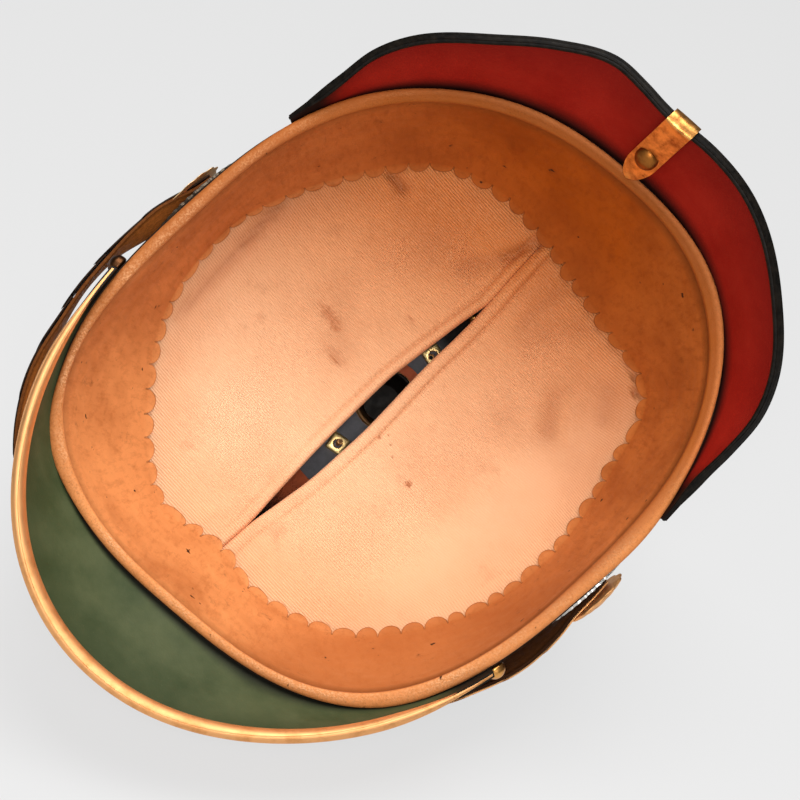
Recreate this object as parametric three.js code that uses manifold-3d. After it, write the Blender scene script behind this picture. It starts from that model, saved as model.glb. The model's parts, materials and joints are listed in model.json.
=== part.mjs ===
// A spiked leather helmet of the old officers' kind, lying upturned on its right front.
// It is built upright, in millimetres: +X is the wearer's left, -Y the front and +Z up, with the
// origin in the middle of the rim. The whole helmet is laid down at the end.

import * as THREE from 'three';
import { LoftGeometry } from 'three/addons/geometries/LoftGeometry.js';
import { mergeVertices } from 'three/addons/utils/BufferGeometryUtils.js';
import Module from 'manifold-3d';

const wasm = await Module();
wasm.setup();

// Fits and leather
const fit = 0.35;
const leather = 2.5;

// Rim: an oval that has set to a head, fuller at the left front and the right rear
const rimWidth = 192.7;
const rimLength = 220.3;
const frontSquareness = 2.8;
const rearSquareness = 2.29;
const headSkew = 3.6;
const cornerSkew = 1.3;

// Skull above the rim, oval at the sides and round near the crown
const shellHeight = 135;
const domeSquareness = 2.4;
const crownRadius = 103;
const crownHole = 12.4;
const roundBelow = 0.45;
const ovalAbove = 0.8;
const discRadius = 43.4;
const discThickness = 1.5;
const crownRings = [crownHole, 22, 32, discRadius];

// Spike and its base, heights above the shell's top
const flangeRadius = 40;
const flangeThickness = 1.2;
const lipWall = 1.2;
const lipDepth = 5;
const neckRadius = 15.5;
const neckTop = 33;
const neckFlare = 3;
const neckFoot = 6;
const neckBend = 14;
const neckWaist = 1.5;
const neckWall = 2.5;
const mouldingHeight = 6;
const collarHeight = 4;
const collarBulge = 1;
const spikeHeight = 98;
const spikeRadius = 12.5;
const spikeTipRadius = 1.6;
const spikeTaper = 0.95;
const spikeBead = 1.5;
const plugRadius = 7.4;

// Studs, nuts and rivets
const studCircle = 25.9;
const postRadius = 1.5;
const postProud = 0.8;
const nutWidth = 7.5;
const nutThickness = 3;
const starRadius = 5;
const starPoints = 6;
const starValley = 0.62;
const starThickness = 1.6;
const boreSides = 8;
const visorRivet = { bearing: 66, height: 5, radius: 3.6, length: 5.1 };

// Visors, seen from the rim outward: how far they drop and reach round, and how far they stand out
const visorLeather = 2;
const visorSeat = 1.2;
const frontVisor = { middle: 0, drop: 30, span: 63.2, dropSpan: 74, bow: 0.06 };
const rearVisor = { middle: 180, drop: 40, span: 70, dropSpan: 72, bow: -0.06 };
const frontReach = 29.6;
const frontReachSpread = 31;
const channelFit = 0.45;
const trim = { lip: 4.2, wall: 0.8, span: 61.6 };
const binding = { lip: 2.8, wall: 0.7, span: 67.5 };

// How far the rear visor stands out, by bearing from its middle. It has warped with age.
const rearReach = [
  { bearing: -72, reach: 0.1 },
  { bearing: -64, reach: 1.7 },
  { bearing: -58, reach: 4.6 },
  { bearing: -52, reach: 9.1 },
  { bearing: -46, reach: 11.2 },
  { bearing: -32, reach: 12.1 },
  { bearing: -23, reach: 15.1 },
  { bearing: -14, reach: 18.1 },
  { bearing: -8, reach: 16.2 },
  { bearing: 0, reach: 14.5 },
  { bearing: 14, reach: 14.5 },
  { bearing: 30, reach: 12.3 },
  { bearing: 42, reach: 12.1 },
  { bearing: 48, reach: 10.2 },
  { bearing: 54, reach: 5.8 },
  { bearing: 60, reach: 2 },
  { bearing: 72, reach: 0.1 },
];

// Rear spine, the stud that holds its upper end and the rivet on its tab
const spineWidth = 12;
const spineThickness = 1;
const spineEnd = { last: 0.45, beforeLast: 0.9 };
const spineStudCircle = 48.6;
const spineStudRadius = 3.4;
const spineStudHeight = 2;
const spineNutWidth = 5;
const spineNutThickness = 2.4;
const spineNutSpin = 20;
const spineRivetRadius = 4.3;
const spineRivetHeight = 2.6;
const spineRivetShare = 0.42;

// Sweatband and lining
const bandLeather = 1.5;
const bandHeight = 50;
const rollWidth = 5.2;
const rollDepth = 2.4;
const kneeShare = 0.36;
const scallops = 66;
const scallopDepth = 2.3;
const scallopTip = 0.26;
const bandLean = [
  { bearing: -10, inset: 23 },
  { bearing: 0, inset: 27 },
  { bearing: 25, inset: 25.5 },
  { bearing: 50, inset: 24 },
  { bearing: 72, inset: 16.5 },
  { bearing: 90, inset: 14 },
  { bearing: 120, inset: 22 },
  { bearing: 150, inset: 22 },
  { bearing: 180, inset: 32 },
  { bearing: 193, inset: 37 },
  { bearing: 207, inset: 34 },
  { bearing: 223, inset: 21 },
  { bearing: 240, inset: 21 },
  { bearing: 272, inset: 15.5 },
  { bearing: 290, inset: 16.5 },
  { bearing: 310, inset: 21.8 },
  { bearing: 330, inset: 22 },
  { bearing: 350, inset: 23 },
  { bearing: 360, inset: 27 },
  { bearing: 385, inset: 25.5 },
];
const silk = 1;
const silkRise = 10;
const silkTuck = 3;
const slitFront = -70;
const slitRear = 46;
const slitWidth = 7.6;
const silkMeeting = 0.6;

// Side fittings: cockade, strap and rosette on one post
const fittingHeight = 24;
const fittingBearing = 91;
const cockadeRadius = 22;
const cockadeThickness = 1.2;
const cockadeAngles = 18;
const rosetteRadius = 12.5;
const rosetteHeight = 3.6;
const rosettePost = 2.4;
const fittingBore = { low: -1, high: 14 };
const strapLeather = 1.4;
const scaleSeat = 0.6;
const scaleThickness = 0.8;
const scalesEachSide = 9;
const scalesStart = 2.5;
const scaleLip = 0.6;
const scaleChamfer = 0.4;
const scaleWidth = 0.82;
const rosetteFree = 9;
const scaleSteps = [
  { along: 0, proud: 1 },
  { along: 0.5, proud: 0.7 },
  { along: 0.96, proud: 0 },
];
const scalePlain = [84.5, 88];
const strapEnd = 98;

// Chin strap from the right rosette over the front visor to the left one: distance of its inner
// face from the rim's line, height of its middle, width and outward lean of its lower edge
const strapPath = [
  { bearing: -98, stand: 1.9, height: 24, width: 12, lean: 3.6 },
  { bearing: -91, stand: 1.9, height: 24, width: 18, lean: 3.6 },
  { bearing: -85, stand: 1.9, height: 23.6, width: 19, lean: 3.6 },
  { bearing: -80, stand: 3.1, height: 22.3, width: 19, lean: 4 },
  { bearing: -72, stand: 2.9, height: 20.5, width: 19, lean: 5 },
  { bearing: -66, stand: 2.5, height: 19.5, width: 18.5, lean: 3.5 },
  { bearing: -60, stand: 1.9, height: 18.5, width: 18, lean: 2.5 },
  { bearing: -52, stand: 2.8, height: 15.5, width: 17.5, lean: 4.5 },
  { bearing: -45, stand: 4.4, height: 11.5, width: 17, lean: 9 },
  { bearing: -25, stand: 10.2, height: 1, width: 15, lean: 24 },
  { bearing: 0, stand: 13, height: -2.6, width: 14, lean: 30 },
  { bearing: 25, stand: 11.4, height: 0.8, width: 15, lean: 26 },
  { bearing: 40, stand: 7.8, height: 7, width: 16, lean: 20 },
  { bearing: 47, stand: 6.6, height: 9.4, width: 21, lean: 16.5 },
  { bearing: 54, stand: 5.9, height: 12, width: 20, lean: 12 },
  { bearing: 62, stand: 6.6, height: 14.8, width: 19, lean: 8 },
  { bearing: 68, stand: 6.8, height: 17.3, width: 19, lean: 8 },
  { bearing: 74, stand: 6.2, height: 19.8, width: 19, lean: 10 },
  { bearing: 79, stand: 4.4, height: 22, width: 19, lean: 8.5 },
  { bearing: 83, stand: 2.6, height: 23.2, width: 19, lean: 6 },
  { bearing: 87, stand: 1.95, height: 23.9, width: 18.6, lean: 3.8 },
  { bearing: 91, stand: 1.9, height: 24, width: 18, lean: 3.6 },
  { bearing: 98, stand: 1.9, height: 24, width: 12, lean: 3.6 },
];

// Front plate, a plain star of rays
const plateHeight = 66;
const plateRays = 8;
const plateTip = 46;
const plateValley = 33;
const plateHole = 9;
const plateThickness = 1.1;
const plateStand = 1.2;
const plateHub = 1.6 * plateThickness;
const bossRim = 3;
const bossHeight = 5;

// How the helmet lies, on the right front of its skull, a ray of its plate and the tip of its spike:
// the bearing that points down, from the front toward the wearer's right, and how far the opening
// looks up
const downBearing = 35.3;
const openingElevation = 32.1;

const radians = THREE.MathUtils.degToRad;
const { lerp, smoothstep } = THREE.MathUtils;

// Finishes
const blackLeather = { color: 0x15120f, roughness: 0.32, metalness: 0 };
const greenLeather = { color: 0x3a4a2c, roughness: 0.55, metalness: 0 };
const redLeather = { color: 0x7c1510, roughness: 0.55, metalness: 0 };
const tanLeather = { color: 0xc97a3e, roughness: 0.6, metalness: 0 };
const brownLeather = { color: 0x4a2a18, roughness: 0.6, metalness: 0 };
const peachSilk = { color: 0xe8a878, roughness: 0.75, metalness: 0 };
const greyFelt = { color: 0x2c3036, roughness: 0.8, metalness: 0 };
const brass = { color: 0xd29a4a, roughness: 0.25, metalness: 1 };
const agedBrass = { color: 0xa86f35, roughness: 0.4, metalness: 1 };
const silver = { color: 0xd8d6d0, roughness: 0.3, metalness: 1 };

// A point by bearing: 0 is the front, 90 the wearer's left and 180 the rear.
function at(bearing, radius, height) {
  return new THREE.Vector3(radius * Math.sin(bearing), -radius * Math.cos(bearing), height);
}

function rimRadius(bearing) {
  const power = Math.cos(bearing) > 0 ? frontSquareness : rearSquareness;
  const across = Math.abs(Math.sin(bearing)) / (rimWidth / 2);
  const along = Math.abs(Math.cos(bearing)) / (rimLength / 2);
  const oval = (across ** power + along ** power) ** (-1 / power);
  return oval + headSkew * Math.sin(2 * bearing) + cornerSkew * Math.sin(4 * bearing);
}

// The skull's surface, `inset` inside its outer face; rise runs from 0 at the rim to a right
// angle at the crown.
function shellPoint(bearing, rise, inset) {
  const inward = Math.cos(rise) ** (2 / domeSquareness);
  const upward = Math.sin(rise) ** (2 / domeSquareness);
  const oval = smoothstep(inward, roundBelow, ovalAbove);
  const plan = lerp(crownRadius, rimRadius(bearing), oval) - inset;
  return at(bearing, plan * inward, (shellHeight - inset) * upward);
}

function riseAtHeight(height) {
  return Math.asin((height / shellHeight) ** (domeSquareness / 2));
}

function riseAtCrownRadius(radius, inset) {
  return Math.acos((radius / (crownRadius - inset)) ** (domeSquareness / 2));
}

// Height of the round crown at a radius, `inset` inside the outer face.
function crownAt(radius, inset) {
  const share = (radius / (crownRadius - inset)) ** domeSquareness;
  return (shellHeight - inset) * (1 - share) ** (1 / domeSquareness);
}

// A seat on the skull: the point and the direction straight out of the leather.
function shellSeat(bearing, rise) {
  const step = 0.001;
  const point = shellPoint(bearing, rise, 0);
  const along = shellPoint(bearing + step, rise, 0).sub(shellPoint(bearing - step, rise, 0));
  const up = shellPoint(bearing, rise + step, 0).sub(shellPoint(bearing, rise - step, 0));
  return { point, normal: along.cross(up).normalize() };
}

function crownSeat(bearing, radius) {
  return shellSeat(bearing, riseAtCrownRadius(radius, 0));
}

// A smooth column of a table, read at a bearing in degrees.
function column(table, name) {
  const bearings = table.map((row) => row.bearing);
  const values = table.map((row) => row[name]);
  const curve = new THREE.CubicInterpolant(bearings, values, 1);
  return (bearing) => curve.evaluate(bearing)[0];
}

function evenSteps(from, to, count) {
  return Array.from({ length: count + 1 }, (_, i) => lerp(from, to, i / count));
}

// Newell's sum gives the way that a section faces.
function sectionNormal(section) {
  const normal = new THREE.Vector3();
  section.forEach((point, i) => {
    const next = section[(i + 1) % section.length];
    normal.add(new THREE.Vector3().crossVectors(point, next));
  });
  return normal;
}

function middle(section) {
  const sum = section.reduce((total, point) => total.add(point), new THREE.Vector3());
  return sum.divideScalar(section.length);
}

// A body lofted through sections, turned so that its faces point out.
function loft(sections, capped) {
  const ahead = middle(sections[1]).sub(middle(sections[0]));
  const backwards = sectionNormal(sections[0]).dot(ahead) < 0;
  const facing = backwards ? sections.map((section) => section.toReversed()) : sections;
  return new LoftGeometry(facing, { closed: true, capStart: capped, capEnd: capped });
}

function strip(sections) {
  return loft(sections, true);
}

// A closed ring of sections, one for each column round the helmet.
function ring(sectionAt, columns) {
  const bearings = Array.from({ length: columns }, (_, i) => (2 * Math.PI * i) / columns);
  const sections = bearings.map((bearing, i) => sectionAt(bearing, i));
  return loft([...sections, sections[0]], false);
}

// A turned body about +Z from a profile of [radius, height] rows.
function turned(profile, sides) {
  const points = profile.map(([radius, height]) => new THREE.Vector2(radius, height));
  return new THREE.LatheGeometry(points, sides).rotateX(Math.PI / 2);
}

function turnedRing(profile, sides) {
  return turned([...profile, profile[0]], sides);
}

// Booleans
function toSolid(geometry) {
  const bare = new THREE.BufferGeometry().copy(geometry);
  bare.deleteAttribute('normal');
  bare.deleteAttribute('uv');
  const merged = mergeVertices(bare, 1e-4);
  const corners = Array.from(merged.index.array);
  const faces = [];
  for (let i = 0; i < corners.length; i += 3) {
    const [a, b, c] = corners.slice(i, i + 3);
    if (a !== b && b !== c && c !== a) faces.push(a, b, c);
  }
  const vertProperties = Float32Array.from(merged.attributes.position.array);
  const triVerts = Uint32Array.from(faces);
  return new wasm.Manifold(new wasm.Mesh({ numProp: 3, vertProperties, triVerts }));
}

function toGeometry(solid) {
  const mesh = solid.getMesh();
  const geometry = new THREE.BufferGeometry();
  geometry.setAttribute('position', new THREE.BufferAttribute(mesh.vertProperties, 3));
  geometry.setIndex(new THREE.BufferAttribute(mesh.triVerts, 1));
  return geometry;
}

function cut(geometry, tools) {
  const solid = tools.reduce((rest, tool) => rest.subtract(toSolid(tool)), toSolid(geometry));
  return toGeometry(solid);
}

function join(first, second) {
  return toGeometry(toSolid(first).add(toSolid(second)));
}

// The whole helmet, upright
const helmet = new THREE.Group();

function add(name, geometry, finish) {
  const mesh = new THREE.Mesh(geometry, new THREE.MeshStandardMaterial(finish));
  mesh.name = name;
  helmet.add(mesh);
  return mesh;
}

// Sets a piece that is drawn on its own +Z axis onto a seat, with a turn about that axis.
function seatMatrix(seat, spin = 0) {
  const upright = new THREE.Quaternion().setFromUnitVectors(new THREE.Vector3(0, 0, 1), seat.normal);
  const turn = new THREE.Quaternion().setFromAxisAngle(new THREE.Vector3(0, 0, 1), spin);
  return new THREE.Matrix4().compose(seat.point, upright.multiply(turn), new THREE.Vector3(1, 1, 1));
}

function addSeated(name, geometry, finish, seat, spin) {
  const mesh = add(name, geometry, finish);
  seatMatrix(seat, spin).decompose(mesh.position, mesh.quaternion, mesh.scale);
  return mesh;
}

// A bore through a seat, from `low` to `high` along its axis.
function boreAt(seat, radius, low, high) {
  const bore = new THREE.CylinderGeometry(radius, radius, high - low, boreSides).rotateX(Math.PI / 2);
  bore.translate(0, 0, (low + high) / 2);
  return bore.applyMatrix4(seatMatrix(seat));
}

// Seats that several pieces share
const baseStuds = [
  { side: 'front', bearing: 0, spin: 8 },
  { side: 'left', bearing: 90, spin: 0 },
  { side: 'rear', bearing: 180, spin: -14 },
  { side: 'right', bearing: 270, spin: 0 },
].map((stud) => ({ ...stud, seat: crownSeat(radians(stud.bearing), studCircle) }));
const spineStudSeat = crownSeat(Math.PI, spineStudCircle);
const sides = [
  { side: 'left', sign: 1 },
  { side: 'right', sign: -1 },
].map((fitting) => {
  const bearing = radians(fitting.sign * fittingBearing);
  return { ...fitting, bearing, seat: shellSeat(bearing, riseAtHeight(fittingHeight)) };
});

// Shell: the leather skull, open below, with the spike's hole and the stud holes in its crown
const shellColumns = 36;
const wallRows = 6;
const boreRadius = postRadius + fit;
const boreDepth = 9;

function shellRow(bearing, inset) {
  const crown = crownRings.toReversed().map((radius) => riseAtCrownRadius(radius, inset));
  const wall = evenSteps(0, crown[0], wallRows).slice(0, -1);
  return [...wall, ...crown].map((rise) => shellPoint(bearing, rise, inset));
}

function shellSection(bearing) {
  return [...shellRow(bearing, 0), ...shellRow(bearing, leather).toReversed()];
}

const baseBores = baseStuds.map((stud) => boreAt(stud.seat, boreRadius, -boreDepth, boreDepth));
const spineBore = boreAt(spineStudSeat, boreRadius, -boreDepth, boreDepth);
add('shell', cut(ring(shellSection, shellColumns), [...baseBores, spineBore]), blackLeather);

// Crown disc: the stiffening disc against the inside of the crown
const crownSides = 24;
const discOuter = leather + fit;
const discInner = discOuter + discThickness;
const discProfile = [
  ...crownRings.map((radius) => [radius, crownAt(radius, discInner)]),
  ...crownRings.toReversed().map((radius) => [radius, crownAt(radius, discOuter)]),
];
add('crown_disc', cut(turnedRing(discProfile, crownSides), baseBores), greyFelt);

// Spike base: a flange on the crown, a hollow neck and a tube lip through the crown hole
const lipRadius = crownHole - fit;
const flangeSteps = [lipRadius, ...crownRings.slice(1, -1), flangeRadius];
const spikeFoot = shellHeight + neckTop;
const baseProfile = [
  [lipRadius - lipWall, shellHeight - lipDepth],
  [lipRadius, shellHeight - lipDepth],
  ...flangeSteps.map((radius) => [radius, crownAt(radius, -fit)]),
  [flangeRadius, crownAt(flangeRadius, -fit) + flangeThickness],
  [studCircle + starRadius, crownAt(studCircle + starRadius, -fit - flangeThickness)],
  [studCircle - starRadius, crownAt(studCircle - starRadius, -fit - flangeThickness)],
  [neckRadius + neckFlare, shellHeight + neckFoot],
  [neckRadius, shellHeight + neckBend],
  [neckRadius - neckWaist, spikeFoot - mouldingHeight],
  [neckRadius, spikeFoot],
  [plugRadius + fit, spikeFoot],
  [plugRadius + fit, spikeFoot - lipWall],
  [neckRadius - neckWaist - neckWall, spikeFoot - mouldingHeight],
  [lipRadius - lipWall, shellHeight + neckFoot],
];
add('spike_base', cut(turnedRing(baseProfile, crownSides), baseBores), brass);

// Spike: a collar on the neck, and the plain spike with a plug through both
const collarFoot = spikeFoot + fit;
const collarTop = collarFoot + collarHeight;
const collarProfile = [
  [plugRadius + fit, collarFoot],
  [neckRadius - collarBulge, collarFoot],
  [neckRadius + collarBulge, collarFoot + collarHeight * 0.3],
  [neckRadius + collarBulge, collarFoot + collarHeight * 0.7],
  [neckRadius - collarBulge, collarTop],
  [plugRadius + fit, collarTop],
];
const spikeSides = 16;
add('spike_collar', turnedRing(collarProfile, spikeSides), brass);

const spikeSeat = collarTop + fit;
const spikeTop = shellHeight + spikeHeight;
const spikeRows = evenSteps(0, 1, 5).slice(1, -1).map((share) => {
  const slim = lerp(spikeTipRadius, spikeRadius, (1 - share) ** spikeTaper);
  return [slim, lerp(spikeSeat + spikeBead, spikeTop - spikeTipRadius, share)];
});
const spikeProfile = [
  [0, spikeFoot - lipWall],
  [plugRadius, spikeFoot - lipWall],
  [plugRadius, spikeSeat],
  [spikeRadius - collarBulge, spikeSeat],
  [spikeRadius, spikeSeat + spikeBead],
  ...spikeRows,
  [spikeTipRadius, spikeTop - spikeTipRadius],
  [spikeTipRadius * 0.7, spikeTop - spikeTipRadius * 0.3],
  [0, spikeTop],
];
add('spike', turned(spikeProfile, spikeSides), brass);

// Studs and nuts: a post through flange, leather and disc with a square nut inside
const flangeOuter = fit + flangeThickness;
const nutTop = -(discInner + 1.5 * fit);
const postEnd = nutTop - nutThickness - postProud;

function post(low, high) {
  const body = new THREE.CylinderGeometry(postRadius, postRadius, high - low, boreSides);
  return body.rotateX(Math.PI / 2).translate(0, 0, (low + high) / 2);
}

function starShape(points, tip, valley) {
  const corners = Array.from({ length: 2 * points }, (_, i) => {
    const angle = (Math.PI * i) / points;
    const radius = i % 2 === 0 ? tip : valley;
    return new THREE.Vector2(radius * Math.cos(angle), radius * Math.sin(angle));
  });
  return new THREE.Shape(corners);
}

function starStud() {
  const low = flangeOuter + fit;
  const head = new THREE.ExtrudeGeometry(starShape(starPoints, starRadius, starRadius * starValley), {
    depth: starThickness,
    bevelEnabled: false,
  });
  return join(head.translate(0, 0, low), post(postEnd, low + starThickness / 2));
}

function squareNut(thickness, width, top) {
  const half = width / 2;
  const corners = [[-half, -half], [half, -half], [half, half], [-half, half]];
  const outline = new THREE.Shape(corners.map(([x, y]) => new THREE.Vector2(x, y)));
  outline.holes.push(new THREE.Path().absarc(0, 0, boreRadius, 0, 2 * Math.PI, true));
  const body = new THREE.ExtrudeGeometry(outline, {
    depth: thickness,
    bevelEnabled: false,
    curveSegments: boreSides,
  });
  return body.translate(0, 0, top - thickness);
}

for (const { side, seat, spin } of baseStuds) {
  addSeated(`base_stud_${side}`, starStud(), brass, seat, radians(spin));
  addSeated(`base_nut_${side}`, squareNut(nutThickness, nutWidth, nutTop), agedBrass, seat, radians(spin));
}

// Visors: the underside leaves the rim and slopes out and down, the leather lies on top of it
const rearReachAt = column(rearReach, 'reach');

function visorShape(visor, degrees) {
  const off = Math.abs(degrees);
  const fall = Math.cos((Math.PI / 2) * Math.min(off / visor.dropSpan, 1));
  const reach = visor === frontVisor
    ? frontReach * Math.exp(-((off / frontReachSpread) ** 2))
    : rearReachAt(degrees);
  return { reach: reach + fit, drop: visor.drop * fall };
}

// The underside's profile in the upright plane at a bearing, from the rim (0) to the edge (1),
// and the same `lift` above it.
function visorProfile(visor, degrees, share, lift) {
  const { reach, drop } = visorShape(visor, degrees);
  const bulge = visor.bow * drop * 4;
  const out = fit + reach * share;
  const down = visorSeat - drop * share + bulge * share * (1 - share);
  const slopeDown = -drop + bulge * (1 - 2 * share);
  const length = Math.hypot(reach, slopeDown);
  return { out: out - (lift * slopeDown) / length, up: down + (lift * reach) / length };
}

function visorPoint(visor, degrees, share, lift) {
  const bearing = radians(visor.middle + degrees);
  const { out, up } = visorProfile(visor, degrees, share, lift);
  return at(bearing, rimRadius(bearing) + out, up);
}

const visorSteps = 20;
const visorShares = evenSteps(0, 1, 3);

function channelBearings({ span }) {
  return evenSteps(-span, span, visorSteps);
}

function visorBody(visor, channel) {
  const bearings = [-visor.span, ...channelBearings(channel), visor.span];
  const sections = bearings.map((degrees) => [
    ...visorShares.map((share) => visorPoint(visor, degrees, share, 0)),
    ...visorShares.toReversed().map((share) => visorPoint(visor, degrees, share, visorLeather)),
  ]);
  return strip(sections);
}

add('front_visor', visorBody(frontVisor, trim), greenLeather);
add('rear_visor', visorBody(rearVisor, binding), redLeather);

// Edge channels: a folded strip round a visor's edge. Its lips follow the leather, and its fold is
// drawn as [past the edge, above the underside].
function edgeChannel(visor, channel) {
  const { lip, wall } = channel;
  const inside = channelFit;
  const outside = channelFit + wall;
  const fold = [
    [inside * 0.5, -outside],
    [outside, 0.1 * visorLeather],
    [outside, 0.9 * visorLeather],
    [inside * 0.5, visorLeather + outside],
  ];
  const lining = [[inside, visorLeather + inside], [inside, -inside]];
  const sections = channelBearings(channel).map((degrees) => {
    const { reach, drop } = visorShape(visor, degrees);
    const lipShare = 1 - Math.min(lip / Math.hypot(reach, drop), 0.6);
    const lipAt = (lift) => visorPoint(visor, degrees, lipShare, lift);
    const edge = visorPoint(visor, degrees, 1, 0);
    const lift = visorPoint(visor, degrees, 1, 1).sub(edge);
    const level = at(radians(visor.middle + degrees), 1, 0);
    const outward = level.clone().multiplyScalar(lift.z).setZ(-lift.dot(level));
    const foldAt = ([past, above]) => edge.clone()
      .addScaledVector(outward, past)
      .addScaledVector(lift, above);
    return [
      lipAt(-inside),
      lipAt(-outside),
      ...fold.map(foldAt),
      lipAt(visorLeather + outside),
      lipAt(visorLeather + inside),
      ...lining.map(foldAt),
    ];
  });
  return strip(sections);
}

add('front_visor_trim', edgeChannel(frontVisor, trim), brass);
add('rear_visor_binding', edgeChannel(rearVisor, binding), blackLeather);

// Visor rivets: round knobs on the shell at the ends of the front trim
const rivetProfile = [
  [0, fit],
  [0.7 * visorRivet.radius, fit],
  [visorRivet.radius, 0.3 * visorRivet.length],
  [0.9 * visorRivet.radius, 0.7 * visorRivet.length],
  [0.45 * visorRivet.radius, 0.94 * visorRivet.length],
  [0, visorRivet.length],
];
const knobSides = 12;
for (const { side, sign } of sides) {
  const seat = shellSeat(radians(sign * visorRivet.bearing), riseAtHeight(visorRivet.height));
  addSeated(`visor_rivet_${side}`, turned(rivetProfile, knobSides), agedBrass, seat);
}

// Rear spine: a strip down the back of the shell, over the rear visor, round its edge and back
// along the underside to a round end
const overBinding = channelFit + binding.wall + fit;
const spineTop = riseAtCrownRadius(flangeRadius + 1, 0);
const spineFoot = riseAtHeight(7);

function spinePath(across) {
  const shellRun = evenSteps(spineTop, spineFoot, 9).map((rise) => {
    const radius = Math.abs(shellPoint(Math.PI, rise, 0).y);
    const { point, normal } = shellSeat(Math.PI - Math.asin(across / radius), rise);
    return { point: point.addScaledVector(normal, fit), normal };
  });
  const visorAt = (share, lift) => {
    const radius = Math.abs(visorPoint(rearVisor, 0, share, lift).y);
    return visorPoint(rearVisor, THREE.MathUtils.radToDeg(-Math.asin(across / radius)), share, lift);
  };
  const visorRun = (shares, lift) => shares.map((share) => {
    const point = visorAt(share, lift);
    return { point, normal: visorAt(share, lift + Math.sign(lift)).sub(point) };
  });
  const top = visorRun(evenSteps(0.2, 1, 3), visorLeather + overBinding);
  const under = visorRun(evenSteps(1, 0.1, 5), -overBinding);
  const lastTop = top.at(-1);
  const rearward = at(Math.PI, 1, 0);
  const outward = rearward.clone().multiplyScalar(lastTop.normal.z);
  outward.z = -lastTop.normal.dot(rearward);
  const bend = [lastTop, under[0]].map(({ point, normal }) => ({
    point: point.clone().addScaledVector(outward, overBinding),
    normal: normal.clone().add(outward).normalize(),
  }));
  return [...shellRun, ...top, ...bend, ...under];
}

const spineLanes = [-0.5, 0, 0.5];
const spineStations = spinePath(0).length;
const spineShares = Array(spineStations).fill(1).toSpliced(-2, 2, spineEnd.beforeLast, spineEnd.last);
const spineSections = spineShares.map((share, station) => {
  const width = spineWidth * share;
  const rows = spineLanes.map((lane) => spinePath(lane * width)[station]);
  const under = rows.map(({ point }) => point);
  const over = rows.toReversed().map(({ point, normal }) => {
    return point.clone().addScaledVector(normal, spineThickness);
  });
  return [...under, ...over];
});
add('rear_spine', cut(strip(spineSections), [spineBore]), agedBrass);

// Spine fastenings: a stud and nut at the crown, and a domed rivet on the tab below
const spineOuter = fit + spineThickness;
const spineStudFoot = spineOuter + fit;
const spineStudHead = [
  [0, spineStudFoot],
  [spineStudRadius, spineStudFoot],
  [0.82 * spineStudRadius, spineStudFoot + 0.7 * spineStudHeight],
  [0, spineStudFoot + spineStudHeight],
];
const spineNutTop = -(leather + 2 * fit);
const spinePostEnd = spineNutTop - spineNutThickness - postProud;
const spinePost = post(spinePostEnd, spineStudFoot + spineStudHeight / 2);
const spineStud = join(turned(spineStudHead, knobSides), spinePost);
const spineNut = squareNut(spineNutThickness, spineNutWidth, spineNutTop);
addSeated('spine_stud', spineStud, agedBrass, spineStudSeat);
addSeated('spine_nut', spineNut, silver, spineStudSeat, radians(spineNutSpin));

const tabPoint = visorPoint(rearVisor, 0, spineRivetShare, -overBinding);
const tabNormal = visorPoint(rearVisor, 0, spineRivetShare, -overBinding - 1).sub(tabPoint).normalize();
const rivetFoot = spineThickness + 1.5 * fit;
const tabRivet = [
  [0, rivetFoot],
  [spineRivetRadius, rivetFoot],
  [0.8 * spineRivetRadius, rivetFoot + 0.58 * spineRivetHeight],
  [0.4 * spineRivetRadius, rivetFoot + 0.92 * spineRivetHeight],
  [0, rivetFoot + spineRivetHeight],
];
addSeated('spine_rivet', turned(tabRivet, knobSides), agedBrass, { point: tabPoint, normal: tabNormal });

// Sweatband: rolled under the shell's edge, then leaning in to a scalloped upper edge
const bandInset = column(bandLean, 'inset');

function bandProfile(bearing) {
  const turn = THREE.MathUtils.euclideanModulo(THREE.MathUtils.radToDeg(bearing), 360);
  const inset = bandInset(turn);
  const knee = { inset: lerp(rollWidth, inset, kneeShare), height: bandHeight / 2 };
  const lean = new THREE.Vector2(inset - knee.inset, bandHeight - knee.height).normalize();
  return { inset, knee, lean };
}

// A point of the band's upper part: so far past its edge, and so deep in its leather.
function bandEdge(bearing, past, depth) {
  const { inset, lean } = bandProfile(bearing);
  const inside = inset + lean.x * past - lean.y * depth;
  return at(bearing, rimRadius(bearing) - inside, bandHeight + lean.y * past + lean.x * depth);
}

function bandSection(bearing) {
  const { knee } = bandProfile(bearing);
  const corner = ([inside, height]) => at(bearing, rimRadius(bearing) - inside, height);
  return [
    ...[[fit, -fit], [1.1, 0.2 - rollDepth], [rollWidth - 1, -rollDepth]].map(corner),
    corner([knee.inset, knee.height]),
    bandEdge(bearing, 0, 0),
    bandEdge(bearing, 0, bandLeather),
    ...[[knee.inset - bandLeather, knee.height], [leather + 1, -fit]].map(corner),
  ];
}

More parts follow.
